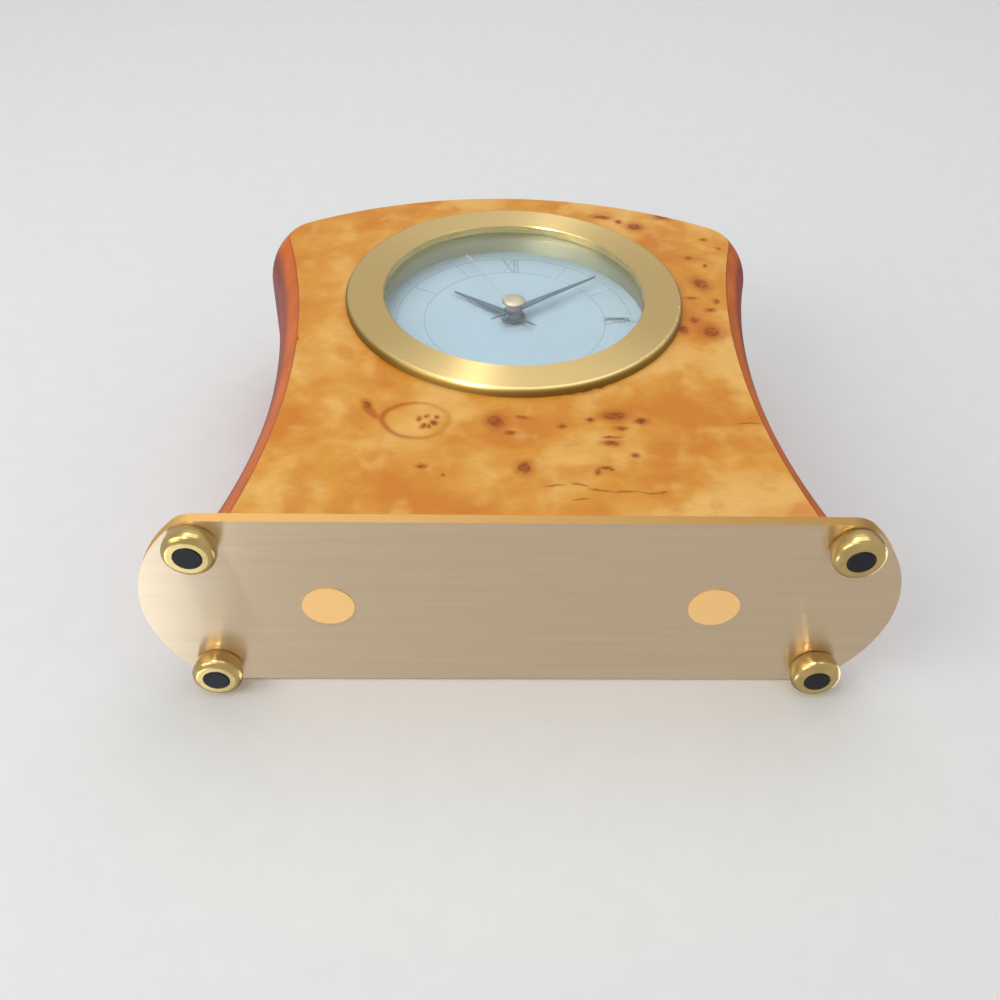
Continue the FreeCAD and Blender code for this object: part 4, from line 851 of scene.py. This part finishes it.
class CLOCK_OT_stage(bpy.types.Operator):
    """Sets the floor, the surface behind the clock, the lamps and the camera"""
    bl_idname = "clock.set_stage"
    bl_label = "Stage"

    def execute(self, context):
        stage = context.scene.clock_stage
        surface = pale_surface("pale painted board", tuple(stage.surface))
        stage_surface("floor", (0.0, 0.0, 0.0), (0.0, 0.0, 0.0), stage.floor_size, surface)
        behind = (0.0, plate_back_y + BACKDROP_GAP, 0.3)
        stage_surface("surface_behind", behind, (math.pi / 2, 0.0, 0.0), stage.floor_size, surface)
        middle = (0.0, 0.0, 0.08)
        soft_lamp("window_light", (-0.55, -0.45, -0.25), middle, 0.5, 1.75, (1.0, 0.99, 0.97))
        soft_lamp("room_light", (0.1, -0.9, 0.35), middle, 0.9, 3.1, (1.0, 1.0, 1.0))
        low = soft_lamp("low_light", (-0.15, 0.22, -0.85), (0.0, 0.0, 0.0), 0.7, 2.7, (1.0, 0.99, 0.97))
        low.visible_glossy = False
        soft_lamp("side_light", (-0.39, 0.43, -0.39), (-0.39, 0.431, 0.0), 0.34, 1.1, (0.68, 0.81, 1.0))
        # Two small lamps that only metal and gloss mirror draw the streaks on the bezel and on the ring's wall
        bezel_middle = (0.0, -0.03, 0.09)
        streak = soft_lamp("streak_light", (-0.112, -0.79, 0.33), bezel_middle, 0.09, 1.35, (0.92, 0.95, 1.0))
        streak.visible_diffuse = False
        streak = soft_lamp("wall_streak_light", (-0.22, -0.75, -0.12), bezel_middle, 0.09, 3.8, (1.0, 1.0, 1.0))
        streak.visible_diffuse = False
        soft_lamp("back_light", (0.85, 0.65, 0.3), middle, 0.8, 3.5, (1.0, 0.98, 1.0))
        self.set_room(context, stage)
        self.place_camera(context, stage)
        context.scene.view_settings.view_transform = "Standard"
        return {"FINISHED"}

    def set_room(self, context, stage):
        """A plain pale room. What metal mirrors of it falls off to shade on the right behind the clock."""
        world = bpy.data.worlds.new("pale room")
        context.scene.world = world
        world.use_nodes = True
        tree = world.node_tree
        tree.nodes.clear()
        rays = add_node(tree, "LightPath").outputs
        room = add_node(tree, "Background", {"Color": (0.94, 0.97, 1.0, 1.0), "Strength": 0.45}).outputs[0]
        direction = add_node(tree, "TexCoord").outputs["Generated"]
        toward = add_node(tree, "VectorMath", {"operation": "DOT_PRODUCT", 0: direction, 1: (0.35, 0.75, 0.55)})
        fall = add_node(tree, "MapRange", {"interpolation_type": "SMOOTHSTEP", "Value": toward.outputs["Value"],
                                           "From Min": 0.35, "From Max": 0.95, "To Min": 0.65, "To Max": 0.18})
        mirrored = add_node(tree, "Background", {"Color": (1.0, 0.985, 0.97, 1.0), "Strength": fall.outputs[0]})
        lit = add_node(tree, "MixShader", {0: rays["Is Glossy Ray"], 1: room, 2: mirrored.outputs[0]})
        seen = add_node(tree, "Background", {"Color": (*tuple(stage.surface), 1.0), "Strength": 1.0})
        shown = add_node(tree, "MixShader", {0: rays["Is Camera Ray"], 1: lit.outputs[0], 2: seen.outputs[0]})
        add_node(tree, "OutputWorld", {"Surface": shown.outputs[0]})

    def place_camera(self, context, stage):
        """Stands in front of the clock and below it, looking up, with a slight turn and roll, in radians."""
        yaw, pitch, roll = 0.042, 0.825, -0.024
        forward = Vector((math.sin(yaw) * math.cos(pitch), math.cos(yaw) * math.cos(pitch), math.sin(pitch)))
        level = forward.cross(Vector((0.0, 0.0, 1.0))).normalized()
        upward = level.cross(forward)
        right = math.cos(roll) * level + math.sin(roll) * upward
        up = -math.sin(roll) * level + math.cos(roll) * upward
        data = bpy.data.cameras.new("camera")
        data.sensor_width = 36.0
        data.lens = stage.lens
        data.shift_x = 0.0085
        data.clip_start = 0.01
        data.dof.use_dof = False
        camera = bpy.data.objects.new("camera", data)
        context.scene.collection.objects.link(camera)
        turned = Matrix((right, up, -forward)).transposed().to_4x4()
        stand = (-13.886 * MM, -180.066 * MM, -154.312 * MM)
        camera.matrix_world = Matrix.Translation(stand) @ turned
        context.scene.camera = camera


class CLOCK_PT_panel(bpy.types.Panel):
    """Lists the steps that dress the clock"""
    bl_idname = "CLOCK_PT_panel"
    bl_label = "Desk Clock"
    bl_space_type = "VIEW_3D"
    bl_region_type = "UI"
    bl_category = "Desk Clock"

    def draw(self, context):
        for operator in OPERATORS:
            self.layout.operator(operator.bl_idname)
        for group in (context.scene.clock_print, context.scene.clock_colours, context.scene.clock_stage):
            for name in group.__annotations__:
                self.layout.prop(group, name)


OPERATORS = (CLOCK_OT_base, CLOCK_OT_case, CLOCK_OT_insert, CLOCK_OT_dial, CLOCK_OT_calendar, CLOCK_OT_hands,
             CLOCK_OT_movement, CLOCK_OT_stage)
CLASSES = (ClockPrintSizes, ClockColours, ClockStage) + OPERATORS + (CLOCK_PT_panel,)


def register():
    for each in CLASSES:
        bpy.utils.register_class(each)
    bpy.types.Scene.clock_print = bpy.props.PointerProperty(type=ClockPrintSizes)
    bpy.types.Scene.clock_colours = bpy.props.PointerProperty(type=ClockColours)
    bpy.types.Scene.clock_stage = bpy.props.PointerProperty(type=ClockStage)


def unregister():
    del bpy.types.Scene.clock_stage
    del bpy.types.Scene.clock_colours
    del bpy.types.Scene.clock_print
    for each in reversed(CLASSES):
        bpy.utils.unregister_class(each)


def main():
    register()
    bpy.ops.clock.dress_base()
    bpy.ops.clock.dress_case()
    bpy.ops.clock.dress_insert()
    bpy.ops.clock.print_dial()
    bpy.ops.clock.print_calendar()
    bpy.ops.clock.dress_hands()
    bpy.ops.clock.dress_movement()
    bpy.ops.clock.set_stage()


if __name__ == "__main__":
    main()
